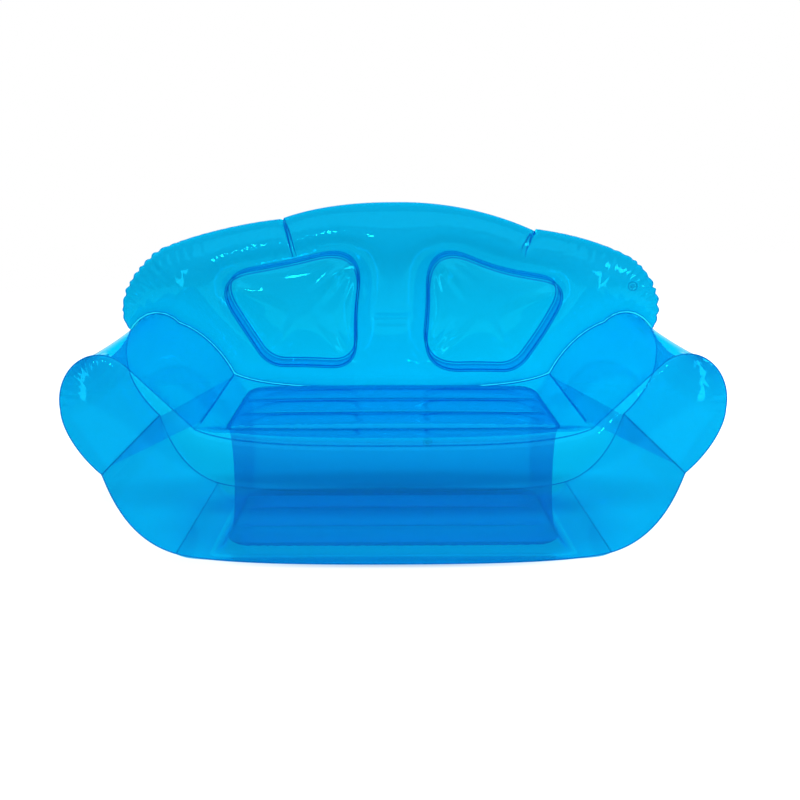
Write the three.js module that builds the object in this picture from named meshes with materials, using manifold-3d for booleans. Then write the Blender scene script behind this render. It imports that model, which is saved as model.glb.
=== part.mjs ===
// Inflatable two-seater sofa of clear film: a base with two arms and a backrest, each one air chamber.
// Millimetres. X runs along the sofa, +Y to its rear and +Z up; the floor is z = 0, below the middle.
// Every wall is one thin sheet. Sheets that share a seam are drawn from the same seam points and
// stop a weld gap short of them.
import * as THREE from "three";
import { mergeVertices } from "three/addons/utils/BufferGeometryUtils.js";
import Module from "manifold-3d";

// Whole sofa
const width = 1800;
const depth = 900;
const height = 950;
const filmThickness = 0.4;
const weldGap = 0.45; // from a seam line to the edge of an outer sheet
const baffleGap = 0.7; // from a seam line to the edge of an inner sheet
const samePoint = weldGap / 10; // points this near each other are one

// Base, front outline
const baseDepth = 760; // front seam to rear seam
const frontBulge = 40; // how far the front and rear walls swell past their seams
const seatHeight = 340; // front edge of the seat, at the middle
const armSpan = 365; // from the sofa's side to the crease between seat and arm
const creaseReach = width / 2 - armSpan;
const creaseHeight = 387;
const armHeight = 592;
const armRollRadius = 110;
const armOverhang = 2; // how far the arm sheet stands proud of its front seam
const flankInset = 107; // from the sofa's side to the crease between arm and flank
const flankReach = width / 2 - flankInset;
const flankHeight = 262;
const footInset = 302; // from the sofa's side to the fold between flank and bottom
const footReach = width / 2 - footInset;
const footHeight = 37;
const hemHeight = 5; // lower edge of the front wall, at the middle
const armInnerAngle = 137; // degrees, where the arm's roll begins and ends
const armOuterAngle = -10;
const rearWidthShare = 0.94; // the rear outline is this much of the front one
const seatRise = 10; // the seat's rear edge lies this much higher than its front edge
const armSwell = 10; // how far the wrapping sheets swell between the front and rear seams
const flankSwell = 12;

// Bends of the outlines: two control points for each curve, as shares of its run in X and in Z
const seatBendShares = [0.486, 0, 0.822, 0.1];
const frontSlopeShares = [0.3, 0.3, 0.7, 0.7]; // from the crease up to the arm's roll
const rearSlopeShares = [0.2, 0.42, 0.56, 0.84];
const armBendShares = [0, 0.28, 0.41, 0.7];
const flankBendShares = [0.13, 0.32, 0.365, 0.83];
const footBendShares = [0.164, 0.9, 0.58, 1];
const sideBendShares = [-0.42, 0.1, -0.6, 0.55];
const shoulderBendShares = [0.21, 0.43, 0.65, 0.86];
const crownBendShares = [0.27, 0.66, 0.65, 1];

// Set-in seat pad, its twin in the bottom and the ring wall between them
const padInset = 60; // from the crease to the pad, at the front
const padTaper = 45;
const padFrontWidth = 2 * (creaseReach - padInset);
const padRearWidth = padFrontWidth - padTaper;
const padSetback = 145; // front seam to the pad's front edge
const padMargin = 25; // pad's rear edge to the rear seam
const padDepth = baseDepth - padSetback - padMargin;
const padCorner = 70;
const padRimHeight = 350;
const padCrown = 24; // channel crests over the rim
const padRibLift = 7; // weld lines over the rim
const padChannels = 3;
const padEndPower = 0.3; // how abruptly the channels end at the sides
const seatSwell = 16; // the seat sheet between the pad's rim and the seams
const bottomRimHeight = 24;
const bottomCrown = 19;

// Inner sheets that part the arms from the base, as shares of the base's depth
const armBaffleStartShare = 0.12;
const armBaffleEndShare = 0.93;

// Backrest
const backrestThickness = 200;
const backrestCollar = 42; // width of the steep band along the seam
const stripHeight = 7; // weld flange between the base and the backrest
const shoulderInset = 169; // from the sofa's side and top
const shoulderDrop = 160;
const shoulderReach = width / 2 - shoulderInset;
const shoulderHeight = height - shoulderDrop;
const notchReach = 343;
const notchDrop = 61;
const notchHeight = height - notchDrop;
const windowThickness = 130; // between the rims of the front and rear windows
const windowCrown = 26;
const windowPuffPower = 0.6; // lower is flatter on top and steeper at the rim

// Corners of a window: from the middle, below the top or above the creases, and how long the rounding is
const windowTopReach = 98;
const windowTopDrop = 130;
const windowTopEase = 92;
const windowFootReach = 113;
const windowFootRise = 46;
const windowFootEase = 76;
const windowCreaseReach = 405;
const windowCreaseRise = 50;
const windowCreaseEase = 72;
const windowShoulderReach = 543;
const windowShoulderDrop = 238;
const windowShoulderEase = 78;

// Air valves: a soft funnel lets the neck sink into its flange
const valveFlangeRadius = 16;
const valveFlangeThickness = 0.8;
const valveMouthRadius = 11;
const valveNeckRadius = 7;
const valveBoreRadius = 5.2;
const valveNeckLength = 14;
const valveWall = 0.8; // funnel
const valveFlapThickness = 0.6;
const plugCapRadius = 8;
const plugCapThickness = 2.5;
const plugStemLength = 8;
const plugTabLength = 5;
const strapWidth = 4;
const strapThickness = 0.9;
const valveGap = 0.3;
const baseValveReach = 135; // from the middle
const baseValveHeight = 172;
const backrestValveInset = 135; // from the sofa's side and top
const backrestValveDrop = 278;
const backrestValveReach = width / 2 - backrestValveInset;
const backrestValveHeight = height - backrestValveDrop;
const cutOverrun = 20;

// Steps along each stretch of an outline
const seatSteps = 6; // middle to crease
const armSteps = 16;
const stripArmSteps = 9; // of the arm's steps, those the backrest stands on
const rollArmSteps = 11; // of the arm's steps, those to its outermost point
const flankSteps = 2 * rollArmSteps - armSteps;
const depthSteps = 9;
const columnSteps = 10; // backrest, down its middle
const sideSteps = 5;
const shoulderSteps = 4;
const crownSteps = 4;
const roundSteps = 24; // round parts of the valves
const wallRowShares = [0, 0.12, 0.38, 0.62, 0.88, 1];
const backrestRowShares = [0, 0.42, 1]; // from a window's rim to the collar
const seatRowShares = [0, 0.3, 0.7, 1];
const windowRowShares = [1, 0.7, 0];

const frontSeamY = frontBulge - depth / 2;
const rearSeamY = frontSeamY + baseDepth;

const wasm = await Module();
wasm.setup();

// Points and outlines

const vec2 = (x, y) => new THREE.Vector2(x, y);
const at = (outlinePoint, y) => new THREE.Vector3(outlinePoint.x, y, outlinePoint.y);
const mirrored = (points) => points.map((p) => p.clone().setX(-p.x));
const halfTurn = (share) => Math.sin(Math.PI * share);
const ellipse = (share) => 2 * Math.sqrt(Math.max(share * (1 - share), 0));

// Adds a curve from the path's end to a point, its control points given as shares of the run.
function bendTo(path, end, [x1, z1, x2, z2]) {
  const start = path.currentPoint;
  const run = end.clone().sub(start);
  const [a, b] = [vec2(x1, z1), vec2(x2, z2)].map((s) => start.clone().add(s.multiply(run)));
  return path.bezierCurveTo(a.x, a.y, b.x, b.y, end.x, end.y);
}

function pathFrom(start) {
  return new THREE.Path().moveTo(start.x, start.y);
}

// Right half of the base's outline in four stretches: seat, arm, flank and foot.
function baseOutline(rise, slopeShares) {
  const armRollReach = width / 2 - armRollRadius - armOverhang;
  const armRollHeight = armHeight - armRollRadius;
  const middle = vec2(0, seatHeight + rise);
  const crease = vec2(creaseReach, creaseHeight + rise);
  const flankCrease = vec2(flankReach, flankHeight);
  const foot = vec2(footReach, footHeight);
  const [begin, end] = [armInnerAngle, armOuterAngle].map(THREE.MathUtils.degToRad);
  const roll = new THREE.Path();
  roll.absarc(armRollReach, armRollHeight, armRollRadius, begin, end, true);
  const rollStart = roll.getPoint(0);
  const arm = bendTo(pathFrom(crease), rollStart, slopeShares);
  arm.absarc(armRollReach, armRollHeight, armRollRadius, begin, end, true);
  bendTo(arm, flankCrease, armBendShares);
  return {
    seat: bendTo(pathFrom(middle), crease, seatBendShares).getSpacedPoints(seatSteps),
    arm: arm.getSpacedPoints(armSteps),
    flank: bendTo(pathFrom(flankCrease), foot, flankBendShares).getSpacedPoints(flankSteps),
    foot: bendTo(pathFrom(foot), vec2(0, hemHeight), footBendShares).getSpacedPoints(seatSteps),
  };
}

const frontOutline = baseOutline(0, frontSlopeShares);
const rearOutline = baseOutline(seatRise, rearSlopeShares);
for (const points of Object.values(rearOutline)) points.forEach((p) => (p.x *= rearWidthShare));

// Unit normals of an outline, to its left as it runs.
function outlineNormals(points, closed = false) {
  const last = points.length - 1;
  return points.map((p, i) => {
    const before = i > 0 || closed ? points.at(i - 1) : p;
    const after = i < last || closed ? points[(i + 1) % points.length] : p;
    const run = after.clone().sub(before).normalize();
    return vec2(-run.y, run.x);
  });
}

// Sheets: a surface is a list of points and of triangles, with consistent winding

function surfaceOf(grids) {
  const points = [];
  const faces = [];
  const found = new Map();
  const indexOf = (p) => {
    const key = p.toArray().map((c) => Math.round(c / samePoint)).join();
    if (!found.has(key)) found.set(key, points.push(p.clone()) - 1);
    return found.get(key);
  };
  for (const { rows, closed = false, flipped = false } of grids) {
    const ids = rows.map((row) => row.map(indexOf));
    for (let j = 0; j + 1 < ids.length; j++) {
      const last = ids[j].length - (closed ? 0 : 1);
      for (let i = 0; i < last; i++) {
        const k = (i + 1) % ids[j].length;
        const [a, b, c, d] = [ids[j][i], ids[j][k], ids[j + 1][k], ids[j + 1][i]];
        for (const face of [[a, b, c], [a, c, d]]) {
          if (new Set(face).size === 3) faces.push(flipped ? face.reverse() : face);
        }
      }
    }
  }
  return { points, faces };
}

const facePoints = (surface, face) => face.map((i) => surface.points[i]);

function faceNormal(surface, face) {
  const [a, b, c] = facePoints(surface, face);
  return b.clone().sub(a).cross(c.clone().sub(a));
}

function pointNormals(surface) {
  const normals = surface.points.map(() => new THREE.Vector3());
  for (const face of surface.faces) {
    const normal = faceNormal(surface, face);
    face.forEach((i) => normals[i].add(normal));
  }
  return normals.map((n) => n.normalize());
}

// Free edges, each from one point to the next with the sheet on its left.
function freeEdges(surface) {
  const edges = new Map();
  for (const face of surface.faces) {
    for (let k = 0; k < 3; k++) {
      const [a, b] = [face[k], face[(k + 1) % 3]];
      if (!edges.delete(`${b},${a}`)) edges.set(`${a},${b}`, { a, b, face });
    }
  }
  return [...edges.values()];
}

// Draws the free edges in by the gap, so that sheets that share a seam stay apart.
function trimmed(surface, gap) {
  const inward = new Map();
  for (const { a, b, face } of freeEdges(surface)) {
    const run = surface.points[b].clone().sub(surface.points[a]).normalize();
    const side = faceNormal(surface, face).normalize().cross(run);
    for (const i of [a, b]) inward.set(i, [...(inward.get(i) ?? []), side]);
  }
  const points = surface.points.map((p, i) => {
    const sides = inward.get(i);
    if (!sides) return p.clone();
    const sum = sides.reduce((s, side) => s.add(side), new THREE.Vector3());
    return p.clone().addScaledVector(sum, (gap * sides.length) / sum.lengthSq());
  });
  return { points, faces: surface.faces };
}

// A closed body of one sheet: both faces of the film and its cut edge.
function filmGeometry(surface, gap = weldGap) {
  const sheet = trimmed(surface, gap);
  const normals = pointNormals(surface);
  const count = sheet.points.length;
  const sides = [filmThickness / 2, -filmThickness / 2].map((offset) =>
    sheet.points.map((p, i) => p.clone().addScaledVector(normals[i], offset)),
  );
  const faces = [];
  for (const [a, b, c] of sheet.faces) faces.push([a, b, c], [c + count, b + count, a + count]);
  for (const { a, b } of freeEdges(sheet)) {
    faces.push([b, a, a + count], [b, a + count, b + count]);
  }
  const geometry = new THREE.BufferGeometry();
  const positions = sides.flat().flatMap((p) => p.toArray());
  geometry.setAttribute("position", new THREE.Float32BufferAttribute(positions, 3));
  geometry.setIndex(faces.flat());
  return geometry;
}

// Solves the soap-film equation on a flat surface: a height at each point, for a load and fixed points.
function soapFilm(surface, fixed, load) {
  const links = surface.points.map(() => new Map());
  const source = surface.points.map(() => 0);
  for (const face of surface.faces) {
    const area = faceNormal(surface, face).length() / 2;
    for (let k = 0; k < 3; k++) {
      const [i, j, tip] = [face[k], face[(k + 1) % 3], face[(k + 2) % 3]];
      const toI = surface.points[i].clone().sub(surface.points[tip]);
      const toJ = surface.points[j].clone().sub(surface.points[tip]);
      const weight = toI.dot(toJ) / (4 * area);
      links[i].set(j, (links[i].get(j) ?? 0) + weight);
      links[j].set(i, (links[j].get(i) ?? 0) + weight);
      source[tip] += (load * area) / 3;
    }
  }
  const film = surface.points.map((p, i) => fixed.get(i) ?? 0);
  const sweeps = 1500;
  for (let sweep = 0; sweep < sweeps; sweep++) {
    for (let i = 0; i < film.length; i++) {
      if (fixed.has(i)) continue;
      let sum = source[i];
      let total = 0;
      for (const [j, weight] of links[i]) {
        sum += weight * film[j];
        total += weight;
      }
      film[i] = sum / total;
    }
  }
  return film;
}

const between = (a, b, share) => a.clone().lerp(b, share);

// Rows of points between two edges of the same count.
function rowsBetween(edgeA, edgeB, shares) {
  return shares.map((share) => edgeA.map((p, i) => between(p, edgeB[i], share)));
}

// Base, front and rear walls

// The outline's upper chain, from one arm's outermost point over the seat to the other, and the
// lower chain under it, as two rows of the same length.
function wallChains({ seat, arm, flank, foot }, y) {
  const upper = [...arm.slice(0, rollArmSteps + 1).reverse(), ...seat.slice(0, -1).reverse()];
  const lower = [...arm.slice(rollArmSteps), ...flank.slice(1), ...foot.slice(1)];
  return [upper, lower].map((half) => {
    const right = half.map((p) => at(p, y));
    return [...right, ...mirrored(right.slice(0, -1)).reverse()];
  });
}

function baseWall(outline, seamY, side) {
  const [upper, lower] = wallChains(outline, seamY);
  const wall = surfaceOf([{ rows: rowsBetween(lower, upper, wallRowShares) }]);
  const fixed = new Map(freeEdges(wall).map(({ a }) => [a, 0]));
  const film = soapFilm(wall, fixed, 1);
  const highest = Math.max(...film);
  wall.points.forEach((p, i) => (p.y += side * frontBulge * Math.sqrt(film[i] / highest)));
  return wall;
}

const frontWall = baseWall(frontOutline, frontSeamY, -1);
const rearWall = baseWall(rearOutline, rearSeamY, 1);

// Base, sheets that wrap from the front seam to the rear seam

const depthShares = Array.from({ length: depthSteps + 1 }, (_, j) => {
  return (1 - Math.cos((Math.PI * j) / depthSteps)) / 2;
});

function wrapRows(stretch, swell) {
  const [front, rear] = [frontOutline[stretch], rearOutline[stretch]];
  const normals = outlineNormals(front);
  const steps = front.length - 1;
  return depthShares.map((share) =>
    front.map((p, i) => {
      const out = swell * ellipse(share) * Math.sqrt(halfTurn(i / steps));
      const point = between(p, rear[i], share).addScaledVector(normals[i], out);
      return at(point, frontSeamY + share * baseDepth);
    }),
  );
}

// Where the seat or the bottom meets its neighbours: front seam, right edge, rear seam, left edge.
function rimOf(stretch, edgeIndex) {
  const [front, rear] = [frontOutline[stretch], rearOutline[stretch]];
  const half = (points) => (edgeIndex === 0 ? [...points].reverse() : points);
  const whole = (points, y) => {
    const right = half(points).map((p) => at(p, y));
    return [...mirrored(right.slice(1)).reverse(), ...right];
  };
  const frontRow = whole(front, frontSeamY);
  const rearRow = whole(rear, rearSeamY);
  const edge = depthShares.map((share) => between(frontRow.at(-1), rearRow.at(-1), share));
  return [
    ...frontRow.slice(0, -1),
    ...edge.slice(0, -1),
    ...[...rearRow].reverse().slice(0, -1),
    ...mirrored(edge).reverse().slice(0, -1),
  ];
}

// A closed loop with rounded corners, in stretches of so many steps from each rounding's middle to the next.
function roundedLoop(corners, eases, stepCounts) {
  const roundings = corners.map((corner, i) => {
    const towards = (other) => other.clone().sub(corner).setLength(eases[i]).add(corner);
    const [arrive, leave] = [corners.at(i - 1), corners[(i + 1) % corners.length]].map(towards);
    const middle = between(between(arrive, leave, 1 / 2), corner, 1 / 2);
    return { corner, arrive, leave, middle };
  });
  return roundings.flatMap((from, i) => {
    const to = roundings[(i + 1) % roundings.length];
    const [first, second] = [between(from.corner, from.leave, 1 / 2), between(to.arrive, to.corner, 1 / 2)];
    const path = pathFrom(from.middle);
    path.quadraticCurveTo(first.x, first.y, from.leave.x, from.leave.y);
    path.lineTo(to.arrive.x, to.arrive.y);
    path.quadraticCurveTo(second.x, second.y, to.middle.x, to.middle.y);
    return path.getSpacedPoints(stepCounts[i]).slice(0, -1);
  });
}

// The pad's rim from above, anticlockwise from its front left corner.
function padRim() {
  const frontY = frontSeamY + padSetback;
  const corners = [
    vec2(-padFrontWidth / 2, frontY),
    vec2(padFrontWidth / 2, frontY),
    vec2(padRearWidth / 2, frontY + padDepth),
    vec2(-padRearWidth / 2, frontY + padDepth),
  ];
  const stepCounts = [2 * seatSteps, depthSteps, 2 * seatSteps, depthSteps];
  return roundedLoop(corners, corners.map(() => padCorner), stepCounts);
}

const padLoop = padRim();
const padLoopAt = (z) => padLoop.map((p) => new THREE.Vector3(p.x, p.y, z));

// The seat sheet swells most where it is widest, between the pad and the front seam.
function seatSurface() {
  const [inner, outer] = [padLoopAt(padRimHeight), rimOf("seat", 1)];
  const rows = rowsBetween(inner, outer, seatRowShares);
  inner.forEach((rimPoint, i) => {
    const room = Math.min(...outer.map((p) => Math.abs(p.y - rimPoint.y) + Math.abs(p.x - rimPoint.x)));
    const widthShare = Math.min(room / padSetback, 1);
    rows.forEach((row, j) => (row[i].z += seatSwell * widthShare ** 2 * ellipse(seatRowShares[j])));
  });
  return surfaceOf([{ rows, closed: true }]);
}

// The bottom rests on a flat band between the pad's rim and the seams.
function bottomSurface() {
  const rows = rowsBetween(padLoopAt(bottomRimHeight), rimOf("foot", 0), seatRowShares);
  rows.slice(1, -1).forEach((row) => row.forEach((p) => (p.z = filmThickness / 2)));
  return surfaceOf([{ rows, closed: true }]);
}

// A pad on its rim loop, with weld lines that part it into three channels.
function padSurface(rimZ, crown, ribLift) {
  const front = padLoop.slice(0, 2 * seatSteps + 1);
  const right = padLoop.slice(2 * seatSteps, 2 * seatSteps + depthSteps + 1);
  const rear = padLoop.slice(2 * seatSteps + depthSteps, 4 * seatSteps + depthSteps + 1).reverse();
  const left = [...padLoop.slice(4 * seatSteps + depthSteps), padLoop[0]].reverse();
  const halved = (side) => side.flatMap((p, j) => (j ? [between(side[j - 1], p, 1 / 2), p] : [p]));
  const [leftSide, rightSide] = [left, right].map(halved);
  const rows = leftSide.map((leftPoint, j) => {
    const v = j / (leftSide.length - 1);
    return front.map((frontPoint, i) => {
      const u = i / (front.length - 1);
      const ruled = between(leftPoint, rightSide[j], u).add(between(frontPoint, rear[i], v));
      const flat = between(front[0], front.at(-1), u).lerp(between(rear[0], rear.at(-1), u), v);
      const rim = halfTurn(v) * halfTurn(u) < Number.EPSILON;
      const puff = Math.sqrt(Math.abs(halfTurn(padChannels * v))) * halfTurn(u) ** padEndPower;
      const z = rim ? rimZ : rimZ + ribLift + (crown - ribLift) * puff;
      return at(ruled.sub(flat), 0).set(ruled.x, ruled.y, z);
    });
  });
  return surfaceOf([{ rows }]);
}

function armBaffle(side) {
  const shares = depthShares.map((share) => {
    return THREE.MathUtils.mapLinear(share, 0, 1, armBaffleStartShare, armBaffleEndShare);
  });
  const edge = (index) => shares.map((share) => {
    const point = between(frontOutline.arm.at(index), rearOutline.arm.at(index), share);
    return at(point, frontSeamY + share * baseDepth);
  });
  const rows = [edge(0), edge(-1)];
  return surfaceOf([{ rows: side < 0 ? rows.map(mirrored) : rows }]);
}

// Backrest

// The seam that the backrest stands on, from the middle to its outer corner, and the line below it
// where the weld flange leaves the base.
const standLine = [...rearOutline.seat.slice(0, -1), ...rearOutline.arm.slice(0, stripArmSteps + 1)];
const standNormals = outlineNormals(standLine);
standNormals[0].set(0, 1);
const footLine = standLine.map((p, i) => p.clone().addScaledVector(standNormals[i], stripHeight));

function stripSurface() {
  const whole = (line) => {
    const right = line.map((p) => at(p, rearSeamY));
    return [...mirrored(right.slice(1)).reverse(), ...right];
  };
  return surfaceOf([{ rows: [whole(standLine), whole(footLine)] }]);
}

// Right half of the backrest's edge as a closed loop: down the middle, along its foot, up its side.
function backrestLoop() {
  const top = vec2(0, height);
  const shoulder = vec2(shoulderReach, shoulderHeight);
  const notch = vec2(notchReach, notchHeight);
  const column = pathFrom(top).lineTo(footLine[0].x, footLine[0].y).getSpacedPoints(columnSteps);
  const side = bendTo(pathFrom(footLine.at(-1)), shoulder, sideBendShares);
  const upper = bendTo(pathFrom(shoulder), notch, shoulderBendShares);
  const crown = bendTo(pathFrom(notch), top, crownBendShares);
  return [
    ...column.slice(0, -1),
    ...footLine.slice(0, -1),
    ...side.getSpacedPoints(sideSteps).slice(0, -1),
    ...upper.getSpacedPoints(shoulderSteps).slice(0, -1),
    ...crown.getSpacedPoints(crownSteps).slice(0, -1),
  ];
}

const backrestEdge = backrestLoop();
const windowCorners = [
  vec2(windowTopReach, height - windowTopDrop),
  vec2(windowFootReach, creaseHeight + windowFootRise),
  vec2(windowCreaseReach, creaseHeight + windowCreaseRise),
  vec2(windowShoulderReach, height - windowShoulderDrop),
];
const windowEdge = roundedLoop(
  windowCorners,
  [windowTopEase, windowFootEase, windowCreaseEase, windowShoulderEase],
  [columnSteps, seatSteps, stripArmSteps + sideSteps, shoulderSteps + crownSteps],
);

// Half of the sheet round a window, flat, and how far each point stands out once it is blown up.
function backrestHalf() {
  const normals = outlineNormals(backrestEdge, true);
  const collar = backrestEdge.map((p, i) => p.clone().addScaledVector(normals[i], backrestCollar));
  const loops = [...rowsBetween(windowEdge, collar, backrestRowShares), backrestEdge];
  const rows = loops.map((loop) => loop.map((p) => at(p, 0)));
  const half = surfaceOf([{ rows, closed: true }]);
  const rims = new Map();
  for (const { a } of freeEdges(half)) {
    const p = half.points[a];
    const onWindow = windowEdge.some((q) => q.x === p.x && q.y === p.z);
    const onColumn = p.x === 0 && p.z < height && p.z > footLine[0].y;
    if (!onColumn) rims.set(a, onWindow ? 1 : 0);
  }
  const held = soapFilm(half, rims, 0);
  const blown = soapFilm(half, new Map([...rims.keys()].map((i) => [i, 0])), 1);
  const rimHeight = windowThickness / 2;
  const most = (backrestThickness / 2) ** 2;
  const pressure = Math.min(
    ...half.points.map((_, i) => (rims.has(i) ? Infinity : (most - held[i] * rimHeight ** 2) / blown[i])),
  );
  half.points.forEach((p, i) => {
    p.y = Math.sqrt(held[i] * rimHeight ** 2 + pressure * blown[i]);
  });
  return half;
}

const backrestSheet = backrestHalf();

// Both halves of a front or rear sheet, standing out to one side of the rear seam.
function backrestWall(side) {
  const place = (mirror) => (p) => new THREE.Vector3(mirror * p.x, rearSeamY + side * p.y, p.z);
  const right = backrestSheet.points.map(place(1));
  const left = backrestSheet.points.map(place(-1));
  const points = [...right];
  const leftIndex = left.map((p, i) => (p.x === 0 ? i : points.push(p) - 1));
  const faces = backrestSheet.faces.flatMap(([a, b, c]) => [
    [a, b, c],
    [leftIndex[c], leftIndex[b], leftIndex[a]],
  ]);
  return { points, faces };
}

function windowLoop(side, mirror) {
  const y = rearSeamY + (side * windowThickness) / 2;
  return windowEdge.map((p) => new THREE.Vector3(mirror * p.x, y, p.y));
}

function windowSurface(side, mirror) {
  const rim = windowLoop(side, mirror);
  const middle = rim.reduce((sum, p) => sum.add(p), new THREE.Vector3()).divideScalar(rim.length);
  const rows = windowRowShares.map((share) =>
    rim.map((p) => {
      const point = between(middle, p, share);
      point.y += side * windowCrown * (1 - share ** 2) ** windowPuffPower;
      return point;
    }),
  );
  return surfaceOf([{ rows, closed: true }]);
}

// Air valves

const lengthwise = (geometry) => geometry.rotateX(Math.PI / 2);

// A turned part about the valve's own axis, from a closed profile of radius and height pairs.
function turnedPart(profile) {
  const points = [...profile, profile[0]].map(([radius, z]) => vec2(radius, z));
  return lengthwise(new THREE.LatheGeometry(points, roundSteps));
}

// The triangle of a sheet nearest a place that is wide enough for a flange: its middle and its way out.
function seatOn(surface, x, z) {
  const seats = surface.faces.map((face) => {
    const [a, b, c] = facePoints(surface, face);
    const [sideA, sideB, sideC] = [b.distanceTo(c), c.distanceTo(a), a.distanceTo(b)];
    const around = sideA + sideB + sideC;
    const middle = new THREE.Vector3()
      .addScaledVector(a, sideA / around)
      .addScaledVector(b, sideB / around)
      .addScaledVector(c, sideC / around);
    const normal = faceNormal(surface, face);
    const room = normal.length() / around - valveFlangeRadius;
    const out = normal.clone().multiplyScalar(Math.sign(normal.y)).normalize();
    return { room, distance: Math.hypot(middle.x - x, middle.z - z), middle, out };
  });
  return seats.filter(({ room }) => room > 0).sort((a, b) => a.distance - b.distance)[0];
}

// Heights along the valve's axis, from the film's outer face
const flangeLow = valveGap;
const flangeHigh = flangeLow + valveFlangeThickness;
const neckTop = flangeHigh;
const neckEnd = neckTop - valveNeckLength;
const capLow = neckTop + valveGap;
const capHigh = capLow + plugCapThickness;
const stemRadius = valveBoreRadius - valveGap;
const funnelTop = valveMouthRadius - valveGap;
const funnelFoot = valveNeckRadius + valveGap;
const flapHigh = neckEnd - valveGap;
const flapLow = flapHigh - valveFlapThickness;

const flangeProfile = [
  [valveMouthRadius, flangeLow],
  [valveFlangeRadius, flangeLow],
  [valveFlangeRadius, flangeHigh],
  [valveMouthRadius, flangeHigh],
];
const funnelProfile = [
  [funnelFoot, neckEnd],
  [funnelFoot + valveWall, neckEnd],
  [funnelTop, flangeLow],
  [funnelTop, flangeHigh],
  [funnelTop - valveWall, flangeHigh],
  [funnelFoot, neckEnd + 2 * valveWall],
];
const neckProfile = [
  [valveBoreRadius, neckEnd],
  [valveNeckRadius, neckEnd],
  [valveNeckRadius, neckTop],
  [valveBoreRadius, neckTop],
];
const ribRadius = stemRadius + valveGap / 2;
const stemEnd = capLow - plugStemLength;
const plugProfile = [
  [0, stemEnd],
  [stemRadius - valveWall, stemEnd],
  [stemRadius, stemEnd + valveWall],
  [stemRadius, capLow - plugStemLength / 2],
  [ribRadius, capLow - plugStemLength / 2 + valveWall],
  [stemRadius, capLow - plugStemLength / 2 + 2 * valveWall],
  [stemRadius, capLow],
  [plugCapRadius, capLow],
  [plugCapRadius, capHigh - valveWall],
  [plugCapRadius - valveWall, capHigh],
  [0, capHigh],
];

function solidOf(geometry) {
  const bare = new THREE.BufferGeometry();
  bare.setAttribute("position", geometry.getAttribute("position"));
  bare.setIndex(geometry.index);
  const merged = mergeVertices(bare, filmThickness / 100);
  const vertProperties = merged.attributes.position.array;
  const triVerts = new Uint32Array(merged.index.array);
  return new wasm.Manifold(new wasm.Mesh({ numProp: 3, vertProperties, triVerts }));
}

function geometryOf(solid) {
  const { vertProperties, triVerts } = solid.getMesh();
  const geometry = new THREE.BufferGeometry();
  geometry.setAttribute("position", new THREE.BufferAttribute(vertProperties, 3));
  geometry.setIndex(new THREE.BufferAttribute(triVerts, 1));
  return geometry;
}

const joined = (a, b) => geometryOf(solidOf(a).add(solidOf(b)));

// The plug's cap has a finger tab on one side.
function plugGeometry() {
  const tab = new THREE.BoxGeometry(strapWidth, plugCapRadius + plugTabLength, plugCapThickness / 2);
  tab.translate(0, (plugCapRadius + plugTabLength) / 2, capLow + plugCapThickness / 2);
  return joined(turnedPart(plugProfile), tab);
}

// The check flap under the neck's inner end, with its hinge tab on the side away from the finger tab.
function flapGeometry() {
  const disc = turnedPart([
    [0, flapLow],
    [valveNeckRadius - valveGap, flapLow],
    [valveNeckRadius - valveGap, flapHigh],
    [0, flapHigh],
  ]);
  const tab = new THREE.BoxGeometry(strapWidth, valveNeckRadius, valveFlapThickness);
  tab.translate(0, -valveNeckRadius / 2, (flapLow + flapHigh) / 2);
  return joined(disc, tab);
}

// The strap arches from the flange to the cap's edge.
function strapGeometry() {
  const inner = plugCapRadius + valveGap;
  const middle = (inner + valveFlangeRadius) / 2;
  const reach = middle - inner - strapThickness / 2;
  const low = flangeHigh + valveGap;
  const band = new THREE.Shape();
  band.absarc(middle, low, reach + strapThickness / 2, 0, Math.PI, false);
  band.absarc(middle, low, reach - strapThickness / 2, Math.PI, 0, true);
  const options = { depth: strapWidth, bevelEnabled: false, curveSegments: roundSteps / 3 };
  const strap = new THREE.ExtrudeGeometry(band, options);
  return lengthwise(strap).translate(0, strapWidth / 2, 0);
}

// The model

const sofa = new THREE.Group();

function addMesh(name, geometry, { color, roughness }, parent = sofa) {
  const material = new THREE.MeshStandardMaterial({ color, roughness, metalness: 0 });
  const mesh = new THREE.Mesh(geometry, material);
  mesh.name = name;
  parent.add(mesh);
  return mesh;
}

const outerFilm = { color: 0x18b4ee, roughness: 0.12 };
const padFilm = { color: 0x0f8fe6, roughness: 0.16 };
const innerFilm = { color: 0x0a6fd8, roughness: 0.2 };
const weldedFilm = { color: 0x2fd0f2, roughness: 0.25 };
const valveVinyl = { color: 0x9adcf2, roughness: 0.3 };

// A valve on a sheet, and the sheet with the valve's mouth cut out of it.
function addValve(prefix, surface, x, z) {
  const { middle, out } = seatOn(surface, x, z);
  const valve = new THREE.Group();
  valve.position.copy(middle).addScaledVector(out, filmThickness / 2);
  valve.quaternion.setFromUnitVectors(new THREE.Vector3(0, 0, 1), out);
  sofa.add(valve);
  addMesh(`${prefix}_valve_flange`, turnedPart(flangeProfile), valveVinyl, valve);
  addMesh(`${prefix}_valve_skirt`, turnedPart(funnelProfile), valveVinyl, valve);
  addMesh(`${prefix}_valve_neck`, turnedPart(neckProfile), valveVinyl, valve);
  addMesh(`${prefix}_valve_flap`, flapGeometry(), valveVinyl, valve);
  addMesh(`${prefix}_valve_plug`, plugGeometry(), valveVinyl, valve);
  addMesh(`${prefix}_valve_strap`, strapGeometry(), valveVinyl, valve);
  valve.updateMatrix();
  const mouth = new THREE.CylinderGeometry(
    valveMouthRadius,
    valveMouthRadius,
    2 * cutOverrun,
    roundSteps,
  );
  mouth.rotateX(Math.PI / 2).applyMatrix4(valve.matrix);
  return geometryOf(solidOf(filmGeometry(surface)).subtract(solidOf(mouth)));
}

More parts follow.
